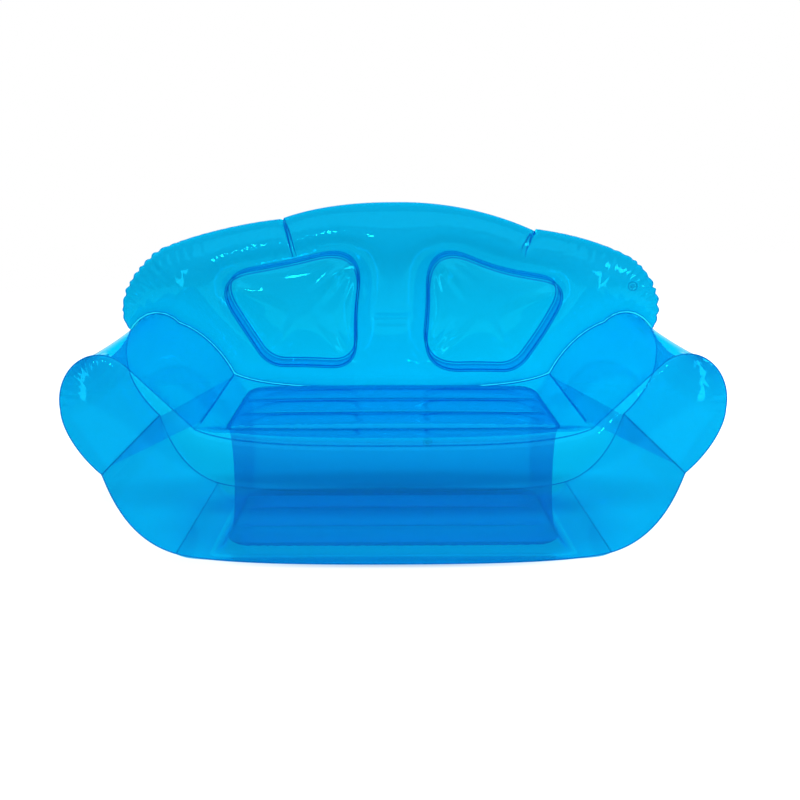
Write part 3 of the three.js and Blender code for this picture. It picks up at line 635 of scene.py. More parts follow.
def ring_baffle(start, end, draw_in):
    """A ring wall between two loops, drawn in between them and mostly right beside their welds."""
    shares = np.linspace(0, 1, BAFFLE_ROWS + 1)
    rows = ruled(start, end, shares)
    middle = rows.mean((0, 1))
    inwards = middle - rows
    inwards[..., int(np.abs(end - start).sum(0).argmax())] = 0
    inwards /= np.linalg.norm(inwards, axis=2)[..., None]
    drawn_in = np.sin(np.pi * shares)[:, None, None] ** DRAWN_EVENLY
    return Sheet.grid(rows + inwards * draw_in * drawn_in, closed=True)


box_baffle = ring_baffle(laid(pad_loop, PAD_RIM_HEIGHT), laid(pad_loop, BOTTOM_RIM_HEIGHT), BOX_DRAW_IN)

shares = ARM_BAFFLE_SHARES[0] + np.diff(ARM_BAFFLE_SHARES) * DEPTH_SHARES
baffle_edges = []
for index in (0, -1):
    line = ruled(front_outline["arm"][[index]], rear_outline["arm"][[index]], shares)[:, 0]
    baffle_edges.append(np.stack([line[:, 0], FRONT_SEAM_Y + shares * BASE_DEPTH, line[:, 1]], 1))
baffle_rows = ruled(baffle_edges[0], baffle_edges[1], np.linspace(0, 1, BAFFLE_ROWS + 1))
arm_baffle = Sheet.grid(baffle_rows)
print("inner walls made")

# %% [markdown]
# ## Backrest
# The backrest is a pillow of two equal sheets. Each has two holes, and a pillow panel with its own
# ring wall fills each hole, so the backrest is thinnest there and fullest round them. No row of
# points fits both the holes and the edge, so the flat sheet is filled with a honeycomb of points
# and joined up into even triangles. It is then blown up as a soap film that is held up at the
# windows and down at the edge.
#
# The sofa isn't quite even from side to side. On the left the crown ends nearer the middle, and on
# the right it runs further down before the crease that parts it from the shoulder.

# %% Backrest outline
TOP = HEIGHT - 0.01
EDGE_STEP = 0.0055
NOTCH_DEPTH = 0.005
BACKREST_HALVES = {
    "right": {
        "shoulder": (0.755, 0.764), "side_shares": (-0.28, 0.113, -0.52, 0.62),
        "outer_lip": (0.451, 0.856), "shoulder_shares": (0.33, 0.59, 0.67, 0.85),
        "inner_lip": (0.440, 0.853), "crown_shares": (0.29, 0.66, 0.63, 1.04),
        "crease": ((0.4455, 0.850), (0.436, 0.831), (0.429, 0.815), (0.418, 0.798), (0.412, 0.775)),
    },
    "left": {
        "shoulder": SIDE_END, "side_shares": (-0.32, 0.1, -0.48, 0.55),
        "outer_lip": (0.347, 0.888), "shoulder_shares": (0.21, 0.43, 0.65, 0.86),
        "inner_lip": (0.336, 0.892), "crown_shares": (0.27, 0.66, 0.61, 1),
        "crease": ((0.3415, 0.884), (0.329, 0.850), (0.322, 0.824), (0.314, 0.795), (0.303, 0.765)),
    },
}

stand_line = np.concatenate([rear_outline["seat"][:-1], rear_outline["arm"][:STRIP_STEPS + 1]])
stand_normals = left_normals(stand_line)
stand_normals[0] = (0, 1)
foot_line = stand_line + stand_normals * STRIP_HEIGHT


def stepped(line):
    """A line taken again at steps of about the edge's own."""
    run = np.linalg.norm(np.diff(line, axis=0), axis=1).sum()
    return spaced(line, max(1, round(run / EDGE_STEP)))


def backrest_half(half):
    """One half's edge, drawn to the right, from its foot's middle to its top, and its stretches' ends."""
    lips = np.array([half["outer_lip"], half["inner_lip"]])
    across = lips[1] - lips[0]
    down = np.array([-across[1], across[0]]) / np.linalg.norm(across)
    stretches = [
        foot_line,
        stepped(bend(foot_line[-1], half["shoulder"], half["side_shares"])),
        stepped(bend(half["shoulder"], half["outer_lip"], half["shoulder_shares"])),
        np.array([half["outer_lip"], lips.mean(0) + down * NOTCH_DEPTH, half["inner_lip"]]),
        stepped(bend(half["inner_lip"], (0, TOP), half["crown_shares"])),
    ]
    line = np.concatenate([stretch[:-1] for stretch in stretches] + [stretches[-1][-1:]])
    ends = np.cumsum([0] + [len(stretch) - 1 for stretch in stretches])
    run = run_along(line)
    return line, run, run[ends]


# How deep the broad folds and the fine ones are, and how much of the broad ones shows in the outline:
# at the foot's middle and end, half-way up the side, at the shoulder and a little past it, on the
# crease's two lips, and at the top
FOLD_DEPTHS = (0.0004, 0.0030, 0.0050, 0.0048, 0.0012, 0.0008, 0.0008, 0.0006)
SCALLOP_DEPTHS = (0, 0.0010, 0.0058, 0.0045, 0.0005, 0.0002, 0.0002, 0)
FINE_DEPTHS = (0.0004, 0.0002, 0.0002, 0.0002, 0.0005, 0.0017, 0.0017, 0.0002)
FOLD_SPACING, FOLD_SEED = 0.031, 51
PAST_SHOULDER = 0.09

smooth_parts, depth_parts, scallop_parts, fine_parts = [], [], [], []
kinds = ((depth_parts, FOLD_DEPTHS), (scallop_parts, SCALLOP_DEPTHS), (fine_parts, FINE_DEPTHS))
for side in ("right", "left"):
    line, run, ends = backrest_half(BACKREST_HALVES[side])
    knots = [*ends[:2], (ends[1] + ends[2]) / 2, ends[2], ends[2] + PAST_SHOULDER, *ends[3:]]
    turned = slice(None, -1) if side == "right" else slice(None, 0, -1)
    smooth_parts.append((line if side == "right" else mirrored(line))[turned])
    for parts, depths in kinds:
        parts.append(np.interp(run, knots, depths)[turned])
smooth_edge = np.concatenate(smooth_parts)
edge_normals = left_normals(smooth_edge, closed=True)
edge_run = run_along(smooth_edge)
edge_folds = gathers(edge_run, FOLD_SPACING, FOLD_SEED)
edge = smooth_edge - edge_normals * (np.concatenate(scallop_parts) * edge_folds)[:, None]
WINDOW_STEPS = (72, 54, 56, 84)
window_loops = {side: rounded_loop(shape["corners"], shape["eases"], WINDOW_STEPS, shape["bows"])
                for side, shape in WINDOW_SHAPES.items()}
holes = [window_loops["right"], mirrored(window_loops["left"])[::-1]]
print("backrest edge of", len(edge), "points, windows of", sum(WINDOW_STEPS))

# %% [markdown]
# ## Filling an outline
# A honeycomb of points, with a few rows drawn in beside each edge where the film is steepest, is
# joined up by Blender's own Delaunay triangulation. Triangles outside the outline or in a hole are
# then dropped.

# %% Filling an outline
def within(points, loop):
    """Whether each point lies inside a closed loop."""
    inside = np.zeros(len(points), bool)
    for (x0, z0), (x1, z1) in zip(loop, np.roll(loop, -1, 0)):
        passed = (z0 > points[:, 1]) != (z1 > points[:, 1])
        rise = z1 - z0 if z1 != z0 else 1
        inside ^= passed & (points[:, 0] < x0 + (points[:, 1] - z0) * (x1 - x0) / rise)
    return inside


ROW_ROOM, GRID_ROOM, LINE_ROOM = 0.93, 0.5, 0.4  # how near to each other points may come


def filled(outline, holes, spacing, rows, lines=()):
    """Points and triangles that fill an outline round its holes, with points kept along some lines."""
    loops = [outline, *holes]
    parts = []
    for loop, turn in zip(loops, [1] + [-1] * len(holes)):
        inward = left_normals(loop, closed=True) * turn
        for reach in rows:
            row = loop + inward * reach
            gaps = np.min([beside(row, other, closed=True)[0] for other in loops], axis=0)
            parts.append(row[gaps > ROW_ROOM * reach])
    for line in lines:
        normals = left_normals(line)
        for reach in (0, *rows[:2]):
            parts += [line + normals * reach] + ([line - normals * reach] if reach else [])
    low, high = outline.min(0), outline.max(0)
    grid_x, grid_z = np.meshgrid(np.arange(low[0], high[0], spacing),
                                 np.arange(low[1], high[1], spacing * math.sqrt(0.75)))
    grid_x[1::2] += spacing / 2
    grid = np.stack([grid_x.ravel(), grid_z.ravel()], 1)
    room = np.min([beside(grid, loop, closed=True)[0] for loop in loops], axis=0)
    kept = room > rows[-1] + spacing * GRID_ROOM
    for line in lines:
        kept &= beside(grid, line)[0] > rows[1] + spacing * LINE_ROOM
    parts.append(grid[kept])
    inner = np.concatenate(parts)
    inside = within(inner, outline) & ~np.any([within(inner, hole) for hole in holes], axis=0)
    inner = inner[inside]
    bounds = np.concatenate(loops)
    edges = []
    for loop in loops:
        start = len(edges)
        edges += [(start + i, start + (i + 1) % len(loop)) for i in range(len(loop))]
    vectors = [Vector(p) for p in np.concatenate([bounds, inner])]
    places, _, faces = geometry.delaunay_2d_cdt(vectors, edges, [], 0, 1e-6)[:3]
    places = np.array([tuple(p) for p in places])
    faces = np.array([face for face in faces if len(face) == 3])
    middles = places[faces].mean(1)
    within_sheet = within(middles, outline) & ~np.any([within(middles, hole) for hole in holes], axis=0)
    return places, faces[within_sheet]


# %% Backrest sheet
BACKREST_SPACING, EDGE_ROWS = 0.007, (0.0008, 0.0025, 0.006, 0.011)
FOLD_REACH = 0.02
FINE_SPACING, FINE_REACH = 0.011, 0.045
CREASE_DEPTH, CREASE_WIDTH, CREASE_FALL = 0.009, 0.006, 0.7
ON_LINE, COLUMN_FOLD_END = 1e-5, 0.02
BACKREST_INSIDE = np.array([0, REAR_SEAM_Y, 0.6])
# Two shallow folds across the column between the windows: half their length, height, depth and width
COLUMN_FOLDS = ((0.065, 0.594, 0.0042, 0.004), (0.055, 0.575, 0.0032, 0.004))

creases = [stepped(mirrored(half["crease"]) if side == "left" else half["crease"])
           for side, half in BACKREST_HALVES.items()]
places, faces = filled(edge, holes, BACKREST_SPACING, EDGE_ROWS,
                       [spaced(line[1:], 2 * len(line)) for line in creases])
flat = Sheet(np.stack([places[:, 0], 0 * places[:, 0], places[:, 1]], 1), faces)
drawn = flat.points[:, [0, 2]]
on_edge = beside(drawn, edge, closed=True)[0] < ON_LINE
on_window = np.min([beside(drawn, hole, closed=True)[0] for hole in holes], axis=0) < ON_LINE

held = np.where(on_edge, 0, np.where(on_window, 1, np.nan))
propped = soap_film(flat, held, load=0)
blown = soap_film(flat, np.where(np.isnan(held), np.nan, 0))
free = np.isnan(held)
prop = propped * (WINDOW_THICKNESS / 2) ** 2
pressure = (((BACKREST_THICKNESS / 2) ** 2 - prop[free]) / blown[free]).min()
backrest_height = np.sqrt(np.maximum(prop + pressure * blown, 0))

distance, along = beside(drawn, smooth_edge, closed=True)
fold_lift = np.interp(along, edge_run, np.concatenate(depth_parts))
fold_lift *= gathers(along, FOLD_SPACING, FOLD_SEED) * fading(distance, FOLD_REACH)
fine_lift = np.interp(along, edge_run, np.concatenate(fine_parts))
fine_lift *= gathers(along, FINE_SPACING, FOLD_SEED + 1) * fading(distance, FINE_REACH)
fold_lift += fine_lift
for line in creases:
    gap, passed = beside(drawn, line)
    run = passed / passed.max()
    fold_lift -= CREASE_DEPTH * np.clip(1 - run, 0, 1) ** CREASE_FALL * np.exp(-gap / CREASE_WIDTH)
for half_length, fold_height, depth, fold_width in COLUMN_FOLDS:
    reach_share = np.clip((half_length - np.abs(drawn[:, 0])) / COLUMN_FOLD_END, 0, 1)
    fold_lift -= depth * reach_share * np.exp(-np.abs(drawn[:, 1] - fold_height) / fold_width)
fold_lift[~free] = 0


def backrest_wall(side):
    """The front (-1) or rear (1) sheet, standing out from the rear seam's plane."""
    still = 0 * drawn[:, 0]
    points = flat.points + np.stack([still, REAR_SEAM_Y + side * backrest_height, still], 1)
    sheet = Sheet(np.concatenate([points, fold_lift[:, None]], 1), flat.faces)
    return sheet.facing_from(BACKREST_INSIDE).lifted(sheet.marks[:, 0])


backrest_front, backrest_rear = backrest_wall(-1), backrest_wall(1)
fullest = round(backrest_height.max(), 4)
print("backrest sheets of", len(backrest_front.faces), "triangles each, fullest", fullest)

# %% [markdown]
# ## Windows
# Each window is a pillow panel of its own, welded into its hole. It bulges past the rim, and since
# a round pillow can't be cut from flat film, broad soft ridges run from its corners towards the
# middle, with finer wrinkles between them.

# %% Windows
WINDOW_ROWS = 40
RIDGE_LIFT, WRINKLE_LIFT = 0.009, 0.0012
RIDGE_WIDTH, RIDGE_SPREAD, RIDGE_REACH = 0.016, 3, 0.11
RIDGE_START_SHARE, RIDGE_RISE = 0.45, 0.03  # of a corner's rounding, and how soon a ridge is at its fullest
WRINKLE_COUNTS, WRINKLE_BAND, WRINKLE_LEAST, WRINKLE_TURN = (11, 19, 29), 0.045, 0.4, 6.3
WINDOW_SEED, WINDOW_INSIDE = 61, np.array([0.3, REAR_SEAM_Y, 0.6])
RING_DRAW_IN, SMOOTH_RIM, ROW_CROWDING = 0.004, 0.025, 1.7


def window(hand, side):
    """A window panel, drawn on the right, on the front (-1) or the rear (1) of the backrest."""
    shape, window_loop = WINDOW_SHAPES[hand], window_loops[hand]
    y = REAR_SEAM_Y + side * WINDOW_THICKNESS / 2
    middle = window_loop.mean(0)
    shares = 1 - (1 - np.linspace(0, 1, WINDOW_ROWS + 1)) ** ROW_CROWDING
    rows = middle + (window_loop - middle) * shares[:, None, None]
    inner = Sheet.grid(np.stack([rows[..., 0], 0 * rows[..., 0], rows[..., 1]], 2), closed=True)
    flat_places = inner.points[:, [0, 2]].copy()
    rim_gap = beside(flat_places, window_loop, closed=True)[0]
    blown = soap_film(inner, held_at_rim(inner))
    inner.points[:, 1] = y + side * WINDOW_CROWN * np.sqrt(blown / blown.max())
    lift = np.zeros(len(inner.points))
    rng = np.random.default_rng(WINDOW_SEED + side)
    for corner, ease in zip(shape["corners"], shape["eases"]):
        towards = (middle - corner) / np.linalg.norm(middle - corner)
        away = flat_places - corner
        ahead, aside = away @ towards, away @ np.array([-towards[1], towards[0]])
        run = ahead - ease * RIDGE_START_SHARE
        fade = np.clip(run / RIDGE_RISE, 0, 1) * np.exp(-(np.maximum(run, 0) / RIDGE_REACH) ** 2)
        lift += RIDGE_LIFT * fade * np.exp(-(aside / (RIDGE_WIDTH * (1 + ahead * RIDGE_SPREAD))) ** 2)
        angle = np.arctan2(aside, ahead)
        waves = sum(rng.uniform(WRINKLE_LEAST, 1) * np.cos(count * angle + rng.uniform(0, WRINKLE_TURN))
                    for count in WRINKLE_COUNTS)
        near = np.linalg.norm(away, axis=1)
        lift += WRINKLE_LIFT * waves / 2 * np.exp(-(((near - ease) / WRINKLE_BAND) ** 2))
    lift *= np.clip(rim_gap / SMOOTH_RIM, 0, 1)
    return inner.facing_from(WINDOW_INSIDE).lifted(lift)


windows, window_rims, window_rings = {}, {}, {}
for hand, window_loop in window_loops.items():
    rims = [upright(window_loop, REAR_SEAM_Y + side * WINDOW_THICKNESS / 2) for side in (-1, 1)]
    windows[hand] = window(hand, -1), window(hand, 1)
    window_rims[hand] = rims
    window_rings[hand] = ring_baffle(*rims, RING_DRAW_IN)
print("windows of", len(windows["right"][0].faces), "triangles each")

# %% [markdown]
# ## Where the valves sit
# Each air valve is a moulded disc that is welded flat onto a rear sheet, so the sheet is drawn to
# the disc's own plane there, and a round mouth is cut in it for the neck that sinks in.

# %% Valve seats
VALVE_SEATS = {  # the middle of the disc's lower face, and the way out
    "base": ((0.11496, 0.38993, 0.16184), (-0.00017, 1.0, -0.00089)),
    "backrest": ((0.77044, 0.41115, 0.66739), (0.15499, 0.98789, 0.00725)),
}
MOUTH_RADIUS, SEAT_RADIUS, SEAT_FADE = 0.011, 0.022, 0.04
PUNCH_LENGTH, PUNCH_SIDES = 0.02, 48


def seated(sheet, place, out):
    """The sheet, drawn to a valve's plane round the valve."""
    offset = sheet.points - place
    height = offset @ np.array(out)
    radius = np.linalg.norm(offset - height[:, None] * out, axis=1)
    share = np.clip((SEAT_RADIUS + SEAT_FADE - radius) / SEAT_FADE, 0, 1)
    share = share**2 * (3 - 2 * share)
    sheet.points = sheet.points - ((height + FILM / 2) * share)[:, None] * out


seated(rear_wall, *VALVE_SEATS["base"])
seated(backrest_rear, *VALVE_SEATS["backrest"])


def pierce(piece, place, out):
    """Cuts a valve's round mouth in a piece."""
    turned = Vector(out).to_track_quat("Z", "Y").to_euler()
    bpy.ops.mesh.primitive_cylinder_add(vertices=PUNCH_SIDES, radius=MOUTH_RADIUS, depth=PUNCH_LENGTH,
                                        location=place, rotation=turned)
    punch = bpy.context.object
    cut = piece.modifiers.new("mouth", "BOOLEAN")
    cut.operation, cut.solver, cut.object = "DIFFERENCE", "EXACT", punch
    evaluated = piece.evaluated_get(bpy.context.evaluated_depsgraph_get())
    pierced = bpy.data.meshes.new_from_object(evaluated)
    piece.modifiers.clear()
    piece.data = pierced
    bpy.data.objects.remove(punch)


print("film drawn to", len(VALVE_SEATS), "valves")

# %% [markdown]
# ## Weld flanges
# Where two sheets are welded, a narrow band of doubled film is left along the seam. The sofa was
# welded inside out, so these bands point into the air chambers. Through the clear film they show
# as the fine dark lines that draw every outline, and they wave slightly, because the film on
# both sides of them is pulled into gathers. Flat ones run round the windows and the pads, two to a
# rim, and one stands under each line between the seat pad's channels. Beside the crown the edge of
# the backrest is tucked in, and the tuck makes a pleat of its own.

# %% Weld flanges
FLANGE_WIDTH = 0.003
FLANGE_FILM = 2 * FILM
FLANGE_GATHERS, FLANGE_ROWS = 0.021, (0, 0.4, 0.75, 1)
ARM_WELD, CREASE_WELD = 0.004, 0.009
CREASE_WAY, ARM_WAY, FOOT_WAY = (0.2, 0, -1), (-1, 0, 0.3), (-1, 0, 0.9)  # into the chamber, on the right
CREASE_START_SHARE = 0.12  # how far behind the front seam the weld along a crease begins
RIM_WELDS = ((0.0002, 0.0018), (0.0054, 0.0042))  # gap from the rim, and width
RIB_DROP, RIB_FIN, RIB_WAVE = 0.001, 0.005, 0.0004
PLEAT_WIDTH, PLEAT_LEAN_SHARE = 0.009, 0.75  # the film tucked in at a crease, and how far it leans over
PLEAT_FALL, PLEAT_LEAST = 1.5, 0.0006
PAD_WELD, PAD_WELD_GAPS = 0.0022, (0.0006, 0.0075)
STRIP_ROWS, STRIP_GATHERS, STRIP_WAVE = 7, 0.045, 0.0016


def flange(line, side, seed, width=FLANGE_WIDTH, wave=0.0012, closed=False):
    """A doubled band along a line. side has the unit vector into the chamber at each point."""
    line, side = np.asarray(line, float), np.asarray(side, float)
    run = np.gradient(line, axis=0)
    out = np.cross(run, side)
    out /= np.linalg.norm(out, axis=1)[:, None]
    lean = gathers(run_along(line), FLANGE_GATHERS, seed)[:, None] * wave
    rows = [line + side * width * share + out * lean * share**2 for share in FLANGE_ROWS]
    return Sheet.grid(np.array(rows), closed=closed)


def inwards(loop):
    """Unit normals of an upright closed loop, towards its inside."""
    flat = left_normals(loop[:, [0, 2]], closed=True)
    middle = loop[:, [0, 2]].mean(0)
    if ((middle - loop[:, [0, 2]]) * flat).sum() < 0:
        flat = -flat
    return np.stack([flat[:, 0], 0 * flat[:, 0], flat[:, 1]], 1)


def crease_line(index, stretch="arm"):
    """The straight crease that runs from the front seam to the rear seam at one point of a stretch."""
    ends = [upright(outline[stretch][[index]], y)[0]
            for outline, y in ((front_outline, FRONT_SEAM_Y), (rear_outline, REAR_SEAM_Y))]
    return ends[0] + (ends[1] - ends[0]) * np.linspace(0, 1, DEPTH_STEPS + 1)[:, None]


def crease_side(direction):
    """One direction, as a unit vector for each point of a crease."""
    return np.tile(np.array(direction) / np.linalg.norm(direction), (DEPTH_STEPS + 1, 1))


def ribbon(loop, gap, width):
    """A flat doubled band that follows a closed upright or lying loop, on its inside."""
    flat_axes = [0, 2] if np.ptp(loop[:, 1]) < 1e-9 else [0, 1]
    inward = left_normals(loop[:, flat_axes], closed=True)
    if ((loop[:, flat_axes].mean(0) - loop[:, flat_axes]) * inward).sum() < 0:
        inward = -inward
    offset = np.zeros_like(loop)
    offset[:, flat_axes] = inward
    return Sheet.grid(np.array([loop + offset * gap, loop + offset * (gap + width)]), closed=True)


def rib_line(index):
    """The weld line between two of the seat pad's channels."""
    share = index / PAD_CHANNELS
    half = (PAD_FRONT_WIDTH * (1 - share) + PAD_REAR_WIDTH * share) / 2 * (1 - 2 * RIB_STOP_SHARE)
    across = np.linspace(-half, half, 2 * SEAT_STEPS + 1)
    y, z = pad_front + PAD_DEPTH * share, PAD_RIM_HEIGHT + PAD_RIB_LIFT - RIB_DROP
    return np.stack([across, np.full_like(across, y), np.full_like(across, z)], 1)


def pleat(line, side, lean):
    """The tuck of doubled film along a crease of the backrest's front (-1) or rear (1) sheet."""
    sheet = backrest_front if side < 0 else backrest_rear
    own = sheet.points[np.linalg.norm(sheet.points[:, None, [0, 2]] - line[None], axis=2).argmin(0)]
    width = PLEAT_WIDTH * (1 - np.linspace(0, 1, len(line)) ** PLEAT_FALL) + PLEAT_LEAST
    start = own + np.array([0, -side * FILM * 2, 0])
    reach = np.array([lean * PLEAT_LEAN_SHARE, -side * 1.0, 0.0]) * width[:, None]
    return Sheet.grid(np.array([start, start + reach / 2, start + reach]))


front_loop, rear_loop = whole_seam(front_outline, FRONT_SEAM_Y), whole_seam(rear_outline, REAR_SEAM_Y)
edge_loop, edge_turn = upright(edge, REAR_SEAM_Y), upright(edge_normals, 0)
crease_start = round(DEPTH_STEPS * CREASE_START_SHARE)
foot_steps = len(foot_line) - 1
flanges = {
    "front_seam_flange": flange(front_loop, inwards(front_loop), 71, closed=True),
    "rear_seam_flange": flange(rear_loop, inwards(rear_loop), 72, closed=True),
    "right_crease_flange": flange(crease_line(0)[crease_start:], crease_side(CREASE_WAY)[crease_start:],
                                  73, width=CREASE_WELD),
    "right_arm_flange": flange(crease_line(-1), crease_side(ARM_WAY), 74, width=ARM_WELD),
    "right_foot_flange": flange(crease_line(-1, "flank"), crease_side(FOOT_WAY), 75),
    "backrest_flange": flange(edge_loop[foot_steps:-foot_steps], edge_turn[foot_steps:-foot_steps], 76),
}
for part in ("crease_flange", "arm_flange", "foot_flange"):
    flanges[f"left_{part}"] = flanges[f"right_{part}"].mirrored()
for hand, rims in window_rims.items():
    for face, rim in zip(("front", "rear"), rims):
        for line, (gap, width) in zip(("outer", "inner"), RIM_WELDS):
            weld = ribbon(rim, gap, width)
            flanges[f"{hand}_window_{face}_{line}_weld"] = weld if hand == "right" else weld.mirrored()
for name, line, lean in zip(("right", "left"), creases, (-1, 1)):
    for face, side in (("front", -1), ("rear", 1)):
        flanges[f"{name}_pleat_{face}"] = pleat(line, side, lean)
pad_rim = laid(pad_loop, PAD_RIM_HEIGHT - FLANGE_FILM)
for name, gap in zip(("inner", "outer"), PAD_WELD_GAPS):
    flanges[f"pad_{name}_weld"] = ribbon(pad_rim, gap, PAD_WELD)
for index in range(1, PAD_CHANNELS):
    line = rib_line(index)
    downwards = np.tile((0.0, 0.0, -1.0), (len(line), 1))
    flanges[f"pad_rib_{index}_weld"] = flange(line, downwards, 78 + index, width=RIB_FIN, wave=RIB_WAVE)

stand_whole = upright(np.concatenate([mirrored(stand_line[1:])[::-1], stand_line]), REAR_SEAM_Y)
foot_whole = upright(np.concatenate([mirrored(foot_line[1:])[::-1], foot_line]), REAR_SEAM_Y)
strip_shares = np.linspace(0, 1, STRIP_ROWS)
strip_rows = ruled(stand_whole, foot_whole, strip_shares)
strip_bends = gathers(run_along(stand_whole), STRIP_GATHERS, 77) * STRIP_WAVE
strip_rows[..., 1] += strip_bends * np.sin(np.pi * strip_shares)[:, None]
weld_strip = Sheet.grid(strip_rows)
print(len(flanges), "flanges")

# %% [markdown]
# ## Shader maths
# Materials are graphs of nodes, and long graphs of sums are hard to read. This small class stands
# for one socket of a node, so that a sum can be written as a Python expression, and each operator
# adds the Math node that works it out.

# %% A socket that can be calculated with
class Wire:
    """One output of a shader node. Sums with it add Math nodes to its finish."""

    def __init__(self, finish, socket):
        self.finish, self.socket = finish, socket

    def worked(self, operation, *values):
        """What a Math node makes of some wires or numbers."""
        return self.finish.node("ShaderNodeMath", {"operation": operation}, dict(enumerate(values)))

    def __add__(self, other):
        return self.worked("ADD", self, other)

    def __sub__(self, other):
        return self.worked("SUBTRACT", self, other)

    def __rsub__(self, other):
        return self.worked("SUBTRACT", other, self)

    def __mul__(self, other):
        return self.worked("MULTIPLY", self, other)

    def __truediv__(self, other):
        return self.worked("DIVIDE", self, other)

    def __pow__(self, other):
        return self.worked("POWER", self, other)

    __radd__, __rmul__ = __add__, __mul__

    def most(self, other):
        """The larger of two."""
        return self.worked("MAXIMUM", self, other)

    def clipped(self):
        """The same, but never under 0 or over 1."""
        return self.worked("MINIMUM", self.worked("MAXIMUM", self, 0), 1)


class Finish:
    """A material and the nodes it is made of."""

    def __init__(self, name, holder=None):
        self.holder = holder or bpy.data.materials.new(name)
        self.holder.use_nodes = True
        self.tree = self.holder.node_tree
        self.tree.nodes.clear()

    def node(self, kind, settings=None, sockets=None, out=0):
        """Adds a node: its settings first, then values or links for its sockets."""
        node = self.tree.nodes.new(kind)
        for key, value in (settings or {}).items():
            setattr(node, key, value)
        for key, value in (sockets or {}).items():
            if isinstance(value, Wire):
                self.tree.links.new(value.socket, node.inputs[key])
            else:
                node.inputs[key].default_value = value
        return Wire(self, node.outputs[out])

    def mixed(self, share, first, second):
        """A colour between two colours."""
        sockets = {"Factor": share, 6: first, 7: second}
        return self.node("ShaderNodeMix", {"data_type": "RGBA"}, sockets, out=2)

    def shared(self, share, first, second):
        """A shader between two shaders."""
        return self.node("ShaderNodeMixShader", {}, {0: share, 1: first, 2: second})

    def ends(self, shader, kind="ShaderNodeOutputMaterial"):
        """Ends the graph with a shader, and gives the material or world that it belongs to."""
        node = self.tree.nodes.new(kind)
        self.tree.links.new(shader.socket, node.inputs["Surface"])
        return self.holder

# %% [markdown]
# ## Clear film
# Tinted film takes out nearly all red light, some green and hardly any blue, and it does so again
# in each sheet that the eye looks through. That's why film of nearly one colour shows every blue
# from pale cyan to ultramarine. A Transparent shader does just that, and it is sure and quick where
# a refracting one is noisy. Each sheet here is a closed solid with two faces, so one face lets
# through the square root of what the sheet does.
#
# The sheets aren't all of one tint. The cushions are a little deeper than the outer film and the
# inner walls are paler. Those under the arms are paler still, as painted light that brightens the
# arms' insides. A weld is two sheets fused and is the deepest, but for the strip along the backrest's
# foot: it is glossier and mirrors the light from above, and its pale tint is a painted highlight.
#
# Three more things happen on film. Where the eye looks along it, the way through it is longer, and
# it is darker: Layer Weight mixes in a deeper tint. A little light is scattered, as film is never
# quite clear. And it mirrors lamps, most at a slant, with small ripples in it.

# %% Clear film
CYAN_LIGHT = (0.02, 0.82, 1.0, 1)  # what light mirrored by the film looks like
MILKY_DEEP, MILKY_PALE = (0.0, 0.33, 0.70, 1), (0.0, 0.48, 0.88, 1)  # what light scattered in it looks like
VALVE_DEEP, VALVE_PALE = (0.30, 0.66, 0.88, 1), (0.45, 0.82, 0.96, 1)  # and in the valves' thicker vinyl
RIPPLE_SCALE, GRAIN_SCALE, CLOUD_SCALE, GRAIN_PART = 22, 240, 6, 15
MILK_ROUGHNESS, MIRROR_ROUGHNESS = (0.3, 0.2), (0.6, 0.8)  # least, and how much the noise adds
SLANT_MOST, CLOUDS_MOST = 0.8, 0.06  # how much of the deeper tint slanted and cloudy places have


def film_finish(name, wall, haze=0.035, slant=1.8, gloss=0.045, rim_gloss=0.8, roughness=0.06,
                ripple_height=0.0002, milk=(MILKY_DEEP, MILKY_PALE)):
    """wall has the shares of red, green and blue light that get through one sheet."""
    finish = Finish(name)
    once = [*np.sqrt(wall), 1]
    deep = [*np.power(wall, slant / 2), 1]
    place = finish.node("ShaderNodeTexCoord", out="Object")
    ripples = finish.node("ShaderNodeTexNoise", {}, {"Vector": place, "Scale": RIPPLE_SCALE, "Detail": 2})
    grain = finish.node("ShaderNodeTexNoise", {}, {"Vector": place, "Scale": GRAIN_SCALE, "Detail": 2})
    clouds = finish.node("ShaderNodeTexNoise", {}, {"Vector": place, "Scale": CLOUD_SCALE, "Detail": 3})
    height = ripples * ripple_height + grain * (ripple_height / GRAIN_PART)
    normal = finish.node("ShaderNodeBump", {}, {"Height": height, "Distance": 1.0, "Strength": 1.0})
    seen = finish.node("ShaderNodeLayerWeight", {}, {"Blend": 0.5, "Normal": normal}, out="Facing")
    through = finish.shared(
        (seen**3 * SLANT_MOST + clouds * CLOUDS_MOST).clipped(),
        finish.node("ShaderNodeBsdfTransparent", {}, {"Color": once}),
        finish.node("ShaderNodeBsdfTransparent", {}, {"Color": deep}),
    )
    body = finish.node("ShaderNodeBsdfPrincipled", {}, {
        "Base Color": finish.mixed(clouds, *milk),
        "Roughness": MILK_ROUGHNESS[0] + MILK_ROUGHNESS[1] * clouds,
        "Normal": normal})
    mirrored_light = finish.node("ShaderNodeBsdfPrincipled", {}, {
        "Base Color": CYAN_LIGHT, "Metallic": 1.0, "Specular Tint": CYAN_LIGHT,
        "Roughness": roughness * (MIRROR_ROUGHNESS[0] + MIRROR_ROUGHNESS[1] * ripples),
        "Normal": normal})
    cloudy = finish.shared(haze, through, body)
    return finish.ends(finish.shared((gloss + rim_gloss * seen**5).clipped(), cloudy, mirrored_light))


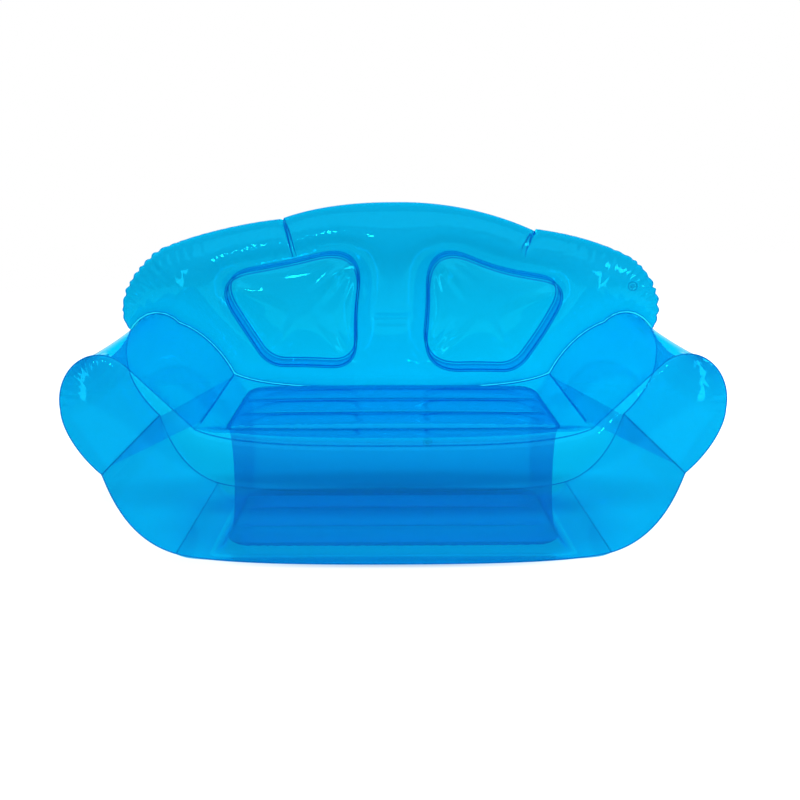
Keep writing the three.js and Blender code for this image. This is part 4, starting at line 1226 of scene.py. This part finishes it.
finishes = {
    "clear_film": film_finish("clear film", (0.02, 0.665, 0.88), slant=1.65),
    "pad_film": film_finish("pad film", (0.02, 0.67, 0.86), ripple_height=0.0003),
    "cushion_film": film_finish("cushion film", (0.02, 0.56, 0.85), ripple_height=0.0003),
    "inner_film": film_finish("inner film", (0.06, 0.77, 0.95), gloss=0.02, rim_gloss=0.4),
    # Painted light: the walls under the arms are paler than the other inner walls, to brighten the arms'
    # insides as if lit.
    "arm_inner_lit_film": film_finish("arm inner film painted lighter", (0.06, 0.85, 0.97), gloss=0.02, rim_gloss=0.4),
    "weld_film": film_finish("welded film", (0.02, 0.32, 0.8), gloss=0.02, rim_gloss=0.15, roughness=0.15),
    # Painted highlight: this weld is tinted pale rather than deep, for the light from above that the strip
    # mirrors; its higher gloss is real.
    "painted_highlight_weld": film_finish("pale weld with painted highlight", (0.02, 0.72, 0.93), gloss=0.07, roughness=0.2),
    "valve_vinyl": film_finish("valve vinyl", (0.35, 0.88, 0.97), haze=0.12, slant=1.6, rim_gloss=0.5,
                               milk=(VALVE_DEEP, VALVE_PALE)),
}
print("finishes:", ", ".join(finishes))

# %% [markdown]
# ## Putting the sofa together
# Each sheet becomes a piece that rides on the frame's root body and stands for the frame's own
# simpler one. Left-hand pieces are the right-hand ones mirrored, but for the windows, whose shapes
# are each their own. A finish that isn't the slot's plain one is named.

# %% Pieces
def add(name, sheet, slot, nodes=(), thickness=FILM, finish=None, body="root"):
    """Makes a piece of a sheet. With no body, the piece is attached to none."""
    piece = film(name, sheet, thickness)
    piece.data.materials.append(finishes[finish or slot])
    if body:
        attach(piece, body)
    if nodes:
        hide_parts(*nodes)
    return piece


add("front_wall", front_wall, "clear_film", ["base_front_panel"])
rear_piece = add("rear_wall", rear_wall, "clear_film", ["base_rear_panel"])
pierce(rear_piece, *VALVE_SEATS["base"])
add("seat_sheet", seat, "clear_film", ["seat_panel"])
add("seat_cushion", seat_pad, "pad_film", ["seat_pad"], finish="cushion_film")
add("bottom_sheet", bottom, "clear_film", ["base_bottom_panel"])
add("bottom_cushion", bottom_pad, "pad_film", ["bottom_pad"], finish="cushion_film")
add("box_ring", box_baffle, "inner_film", ["seat_box_baffle"])
add("backrest_front", backrest_front, "clear_film", ["backrest_front_panel"])
backrest_piece = add("backrest_back", backrest_rear, "clear_film", ["backrest_rear_panel"])
pierce(backrest_piece, *VALVE_SEATS["backrest"])
# The strip's pale tint is a painted highlight; the light it mirrors is real.
add("backrest_strip", weld_strip, "weld_film", ["backrest_weld_strip"], thickness=FLANGE_FILM,
    finish="painted_highlight_weld")
mirrored_pairs = {
    "arm_sheet": (arm_wrap, "clear_film", "arm_wrap"),
    "flank_sheet": (flank, "clear_film", "flank"),
    "arm_inner_wall": (arm_baffle, "inner_film", "arm_baffle"),
}
for name, (sheet, slot, node) in mirrored_pairs.items():
    finish = "arm_inner_lit_film" if slot == "inner_film" else slot
    add(f"right_{name}", sheet, slot, [f"right_{node}"], finish=finish)
    add(f"left_{name}", sheet.mirrored(), slot, [f"left_{node}"], finish=finish)
for hand in ("right", "left"):
    own = [*windows[hand], window_rings[hand]]
    if hand == "left":
        own = [sheet.mirrored() for sheet in own]
    add(f"{hand}_window_panel", own[0], "pad_film", [f"{hand}_window_front"])
    add(f"{hand}_window_back", own[1], "pad_film", [f"{hand}_window_rear"])
    add(f"{hand}_window_ring", own[2], "inner_film", [f"{hand}_window_baffle"])
for name, sheet in flanges.items():
    add(name, sheet, "weld_film", thickness=FLANGE_FILM)
for name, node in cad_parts.items():
    if "valve" in name:
        node.data.materials.clear()
        node.data.materials.append(finishes["valve_vinyl"])
        node.data.shade_smooth()

# %% [markdown]
# ## Soft parts of the valves
# The neck of each valve hangs in a soft funnel, and a small strap keeps its plug. Both are made
# where they rest and stay there. The strap crosses two joints, so it is made as two halves that meet
# half-way round its arch.

# %% Soft parts of the valves
VALVE_ALONG = {"base": (1.0, 0.00017, 0.00017), "backrest": (0.97615, -0.15201, -0.15499)}
FUNNEL_RADII, FUNNEL_HEIGHTS, FUNNEL_FILM = (0.0103, 0.0077), (0.0008, -0.0125), 0.0006
STRAP_MIDDLE, STRAP_RADIUS, STRAP_LOW, STRAP_WIDTH, STRAP_FILM = 0.01215, 0.0034, 0.0014, 0.004, 0.0009
FUNNEL_ROWS, FUNNEL_STEPS, ARCH_STEPS, ARCH_GAP = 9, 64, 12, 0.004


def valve_point(valve, along, across, height):
    """A place given in a valve's own directions."""
    place, out = (np.array(v) for v in VALVE_SEATS[valve])
    way = np.array(VALVE_ALONG[valve])
    return place + along * way + across * np.cross(out, way) + height * out


def soft_part(name, valve, sheet, nodes, bodies, thickness):
    """A piece made where it rests, on no body. The bodies it would follow are named but not used."""
    bodies = [body if body == "root" else f"{valve}_{body}" for body in bodies]
    piece = add(f"{valve}_valve_{name}", sheet, "valve_vinyl", nodes, thickness=thickness, body=None)
    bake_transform(piece)


for valve in VALVE_SEATS:
    turns = np.linspace(0, 2 * np.pi, FUNNEL_STEPS, endpoint=False)
    rings = zip(np.linspace(*FUNNEL_RADII, FUNNEL_ROWS), np.linspace(*FUNNEL_HEIGHTS, FUNNEL_ROWS))
    funnel = [[valve_point(valve, radius * np.cos(turn), radius * np.sin(turn), height) for turn in turns]
              for radius, height in rings]
    soft_part("funnel", valve, Sheet.grid(funnel, closed=True), [f"{valve}_valve_skirt"], ("root", "neck"),
              FUNNEL_FILM)
    halves = {
        "strap_foot": (0, np.pi / 2 - ARCH_GAP, ("root", "neck"), [f"{valve}_valve_strap"]),
        "strap_head": (np.pi / 2 + ARCH_GAP, np.pi, ("neck", "plug"), []),
    }
    for name, (first, last, bodies, nodes) in halves.items():
        arch = [[valve_point(valve, STRAP_MIDDLE + STRAP_RADIUS * np.cos(turn), across,
                             STRAP_LOW + STRAP_RADIUS * np.sin(turn))
                 for across in np.linspace(-STRAP_WIDTH / 2, STRAP_WIDTH / 2, 3)]
                for turn in np.linspace(first, last, ARCH_STEPS)]
        soft_part(name, valve, Sheet.grid(arch), nodes, bodies, STRAP_FILM)
print("funnels and straps for", len(VALVE_SEATS), "valves")

# %% [markdown]
# ## Floor and light
# The floor is plain and pale. A white backdrop must not light the film more than the lamps do, so
# only rays from the camera, and those that mirror or pass straight on, see the floor and the world
# as white. Near the sofa a share of the floor's own shading stays, because light that has come
# through the film turns its shadow blue, and that shadow darkens what is seen through the base. It
# is deepest under the sofa's front and behind its base, where the film lies closest to the floor.
# To the right and behind, the floor's glow is raised over white in a painted pool of light, which
# brightens what is seen through the film.
#
# Film is mostly seen by what it mirrors. A real studio is bright behind and above the object and
# dark at the camera's side, so mirrored rays see a world that fades in that way, and a floor that is
# dimmer by the camera. Most of the light from overhead comes from a box that isn't mirrored, or it
# would draw a hard bright band along every upper edge.

# %% Floor and world
FLOOR_REACH = 12
NEAR_SHARE, FRONT_SHARE, REAR_SHARE = 0.25, 0.4, 0.45  # how much of the floor's own shading stays
FRONT_PLACE, FRONT_SIZE, FRONT_FADE = (0, 0, 0), (0.60, 0.40), 0.25
REAR_PLACE, REAR_SIZE, REAR_FADE = (0, 0.37, 0), (0.72, 0.22), 0.5
NEAR_REACH, NEAR_FADE = 1.2, 1.2
# The pool is painted light: the floor's own glow raised over white, which no lamp casts.
POOL, POOL_REACH, POOL_FADE = 0.5, 1.6, 4.5  # how far over white the floor to the right and behind is lit
POOL_PLACE = (2.4, 1.6, 0)
FAR_FRONT, FAR_FRONT_FADE, FAR_FRONT_LIGHT = 3.4, 1.2, 0.35  # what film mirrors of the floor by the camera
DIM_WORLD, STUDIO_LOW, STUDIO_TOP, STUDIO_BACK = 0.55, 0.3, 0.6, 1.1
STUDIO_TOP_START, STUDIO_TOP_FADE = 0.1, 0.4


def ray_kind(finish, *kinds):
    """1 for rays of these kinds."""
    rays = [finish.node("ShaderNodeLightPath", out=kind) for kind in kinds]
    found = rays[0]
    for ray in rays[1:]:
        found = found.most(ray)
    return found


WHITE, PALE = (1, 1, 1, 1), (0.95, 0.95, 0.95, 1)
floor_finish = Finish("pale floor")
paint = floor_finish.node("ShaderNodeBsdfDiffuse", {}, {"Color": PALE})
spot = floor_finish.node("ShaderNodeTexCoord", out="Object")


def distance_from(place, size=(1, 1)):
    """How far a place on the floor is from another, in the other's own sizes."""
    offset = floor_finish.node("ShaderNodeVectorMath", {"operation": "SUBTRACT"}, {0: spot, 1: place})
    sized = floor_finish.node("ShaderNodeVectorMath", {"operation": "MULTIPLY"},
                              {0: offset, 1: (1 / size[0], 1 / size[1], 0)})
    return floor_finish.node("ShaderNodeVectorMath", {"operation": "LENGTH"}, {0: sized}, out="Value")


def faded(distance, reach, fade):
    """1 up to a reach, and then down to 0."""
    return ((reach + fade - distance) / fade).clipped()


shade = faded(distance_from((0, 0, 0)), NEAR_REACH, NEAR_FADE) * NEAR_SHARE
shade = shade + faded(distance_from(FRONT_PLACE, FRONT_SIZE), 1, FRONT_FADE) * FRONT_SHARE
shade = shade + faded(distance_from(REAR_PLACE, REAR_SIZE), 1, REAR_FADE) * REAR_SHARE
# Painted pool of light: the floor glows brighter than white to the right and behind.
painted_pool = faded(distance_from(POOL_PLACE), POOL_REACH, POOL_FADE) * POOL + 1.0
ahead = floor_finish.node("ShaderNodeSeparateXYZ", {}, {"Vector": spot}, out=1)
# Painted shade: in mirrored rays the floor's glow is dimmed towards the camera, standing in for a dark
# studio there.
far_front = ((ahead * -1 - FAR_FRONT) / FAR_FRONT_FADE).clipped()
mirrored_floor = 1 - far_front * (1 - FAR_FRONT_LIGHT)
in_mirror = ray_kind(floor_finish, "Is Glossy Ray")
lit = painted_pool * (1 - in_mirror) + mirrored_floor * in_mirror
glow = floor_finish.node("ShaderNodeEmission", {}, {"Color": WHITE, "Strength": lit})
direct = ray_kind(floor_finish, "Is Camera Ray", "Is Glossy Ray", "Is Transmission Ray")
floor_finish.ends(floor_finish.shared(direct * (1 - shade), paint, glow))
floor_mesh = bpy.data.meshes.new("floor")
corners = [(-1, -1, 0), (1, -1, 0), (1, 1, 0), (-1, 1, 0)]
floor_mesh.from_pydata([Vector(c) * FLOOR_REACH for c in corners], [], [(0, 1, 2, 3)])
floor = bpy.data.objects.new("floor", floor_mesh)
floor.data.materials.append(floor_finish.holder)
bpy.context.scene.collection.objects.link(floor)

world = bpy.data.worlds.new("studio")
bpy.context.scene.world = world
air = Finish("studio", world)
ways = air.node("ShaderNodeTexCoord", out="Generated")
behind, above = (air.node("ShaderNodeSeparateXYZ", {}, {"Vector": ways}, out=axis) for axis in (1, 2))
overhead = ((above - STUDIO_TOP_START) / STUDIO_TOP_FADE).clipped()
studio = STUDIO_LOW + behind.most(0) * STUDIO_BACK + overhead * STUDIO_TOP
dim = air.node("ShaderNodeBackground", {}, {"Color": WHITE, "Strength": DIM_WORLD})
bright = air.node("ShaderNodeBackground", {}, {"Color": WHITE, "Strength": 1.0})
mirrored_world = air.node("ShaderNodeBackground", {}, {"Color": WHITE, "Strength": studio})
seen_world = air.shared(ray_kind(air, "Is Camera Ray", "Is Transmission Ray"), dim, bright)
air.ends(air.shared(ray_kind(air, "Is Glossy Ray"), seen_world, mirrored_world), "ShaderNodeOutputWorld")

# %% Lamps
def softbox(name, place, aim, size, power, mirrored=True):
    """A rectangular lamp. size is in metres, and power in watts."""
    lamp = bpy.data.lights.new(name, "AREA")
    lamp.shape, lamp.size, lamp.size_y, lamp.energy = "RECTANGLE", *size, power
    thing = bpy.data.objects.new(name, lamp)
    thing.location, thing.visible_glossy = place, mirrored
    thing.rotation_euler = (Vector(aim) - Vector(place)).to_track_quat("-Z", "Y").to_euler()
    bpy.context.scene.collection.objects.link(thing)


softbox("overhead box", (0, -1.2, 3.4), (0, 0, 0.3), (4.0, 2.6), 50, mirrored=False)
softbox("overhead glow", (0, -1.2, 3.3), (0, 0, 0.3), (4.0, 2.6), 25)
softbox("left strip", (-2.1, -3.4, 1.0), (0, 0, 0.6), (0.25, 1.8), 5)
softbox("right strip", (2.1, -3.4, 1.0), (0, 0, 0.6), (0.25, 1.8), 6)
softbox("right high box", (2.6, -1.6, 2.2), (0.3, 0.2, 0.6), (0.9, 0.6), 12)
softbox("spark", (-1.0, -4.0, 2.4), (0, 0, 0.6), (0.22, 0.22), 4)
scene = bpy.context.scene
scene.view_settings.view_transform = "Standard"
scene.cycles.transparent_max_bounces = 64  # faces of film that one ray may pass
scene.cycles.max_bounces = 12
print("six softboxes")

# %% [markdown]
# ## Last update
# The scene is brought up to date.

# %% Finish
bpy.context.view_layer.update()
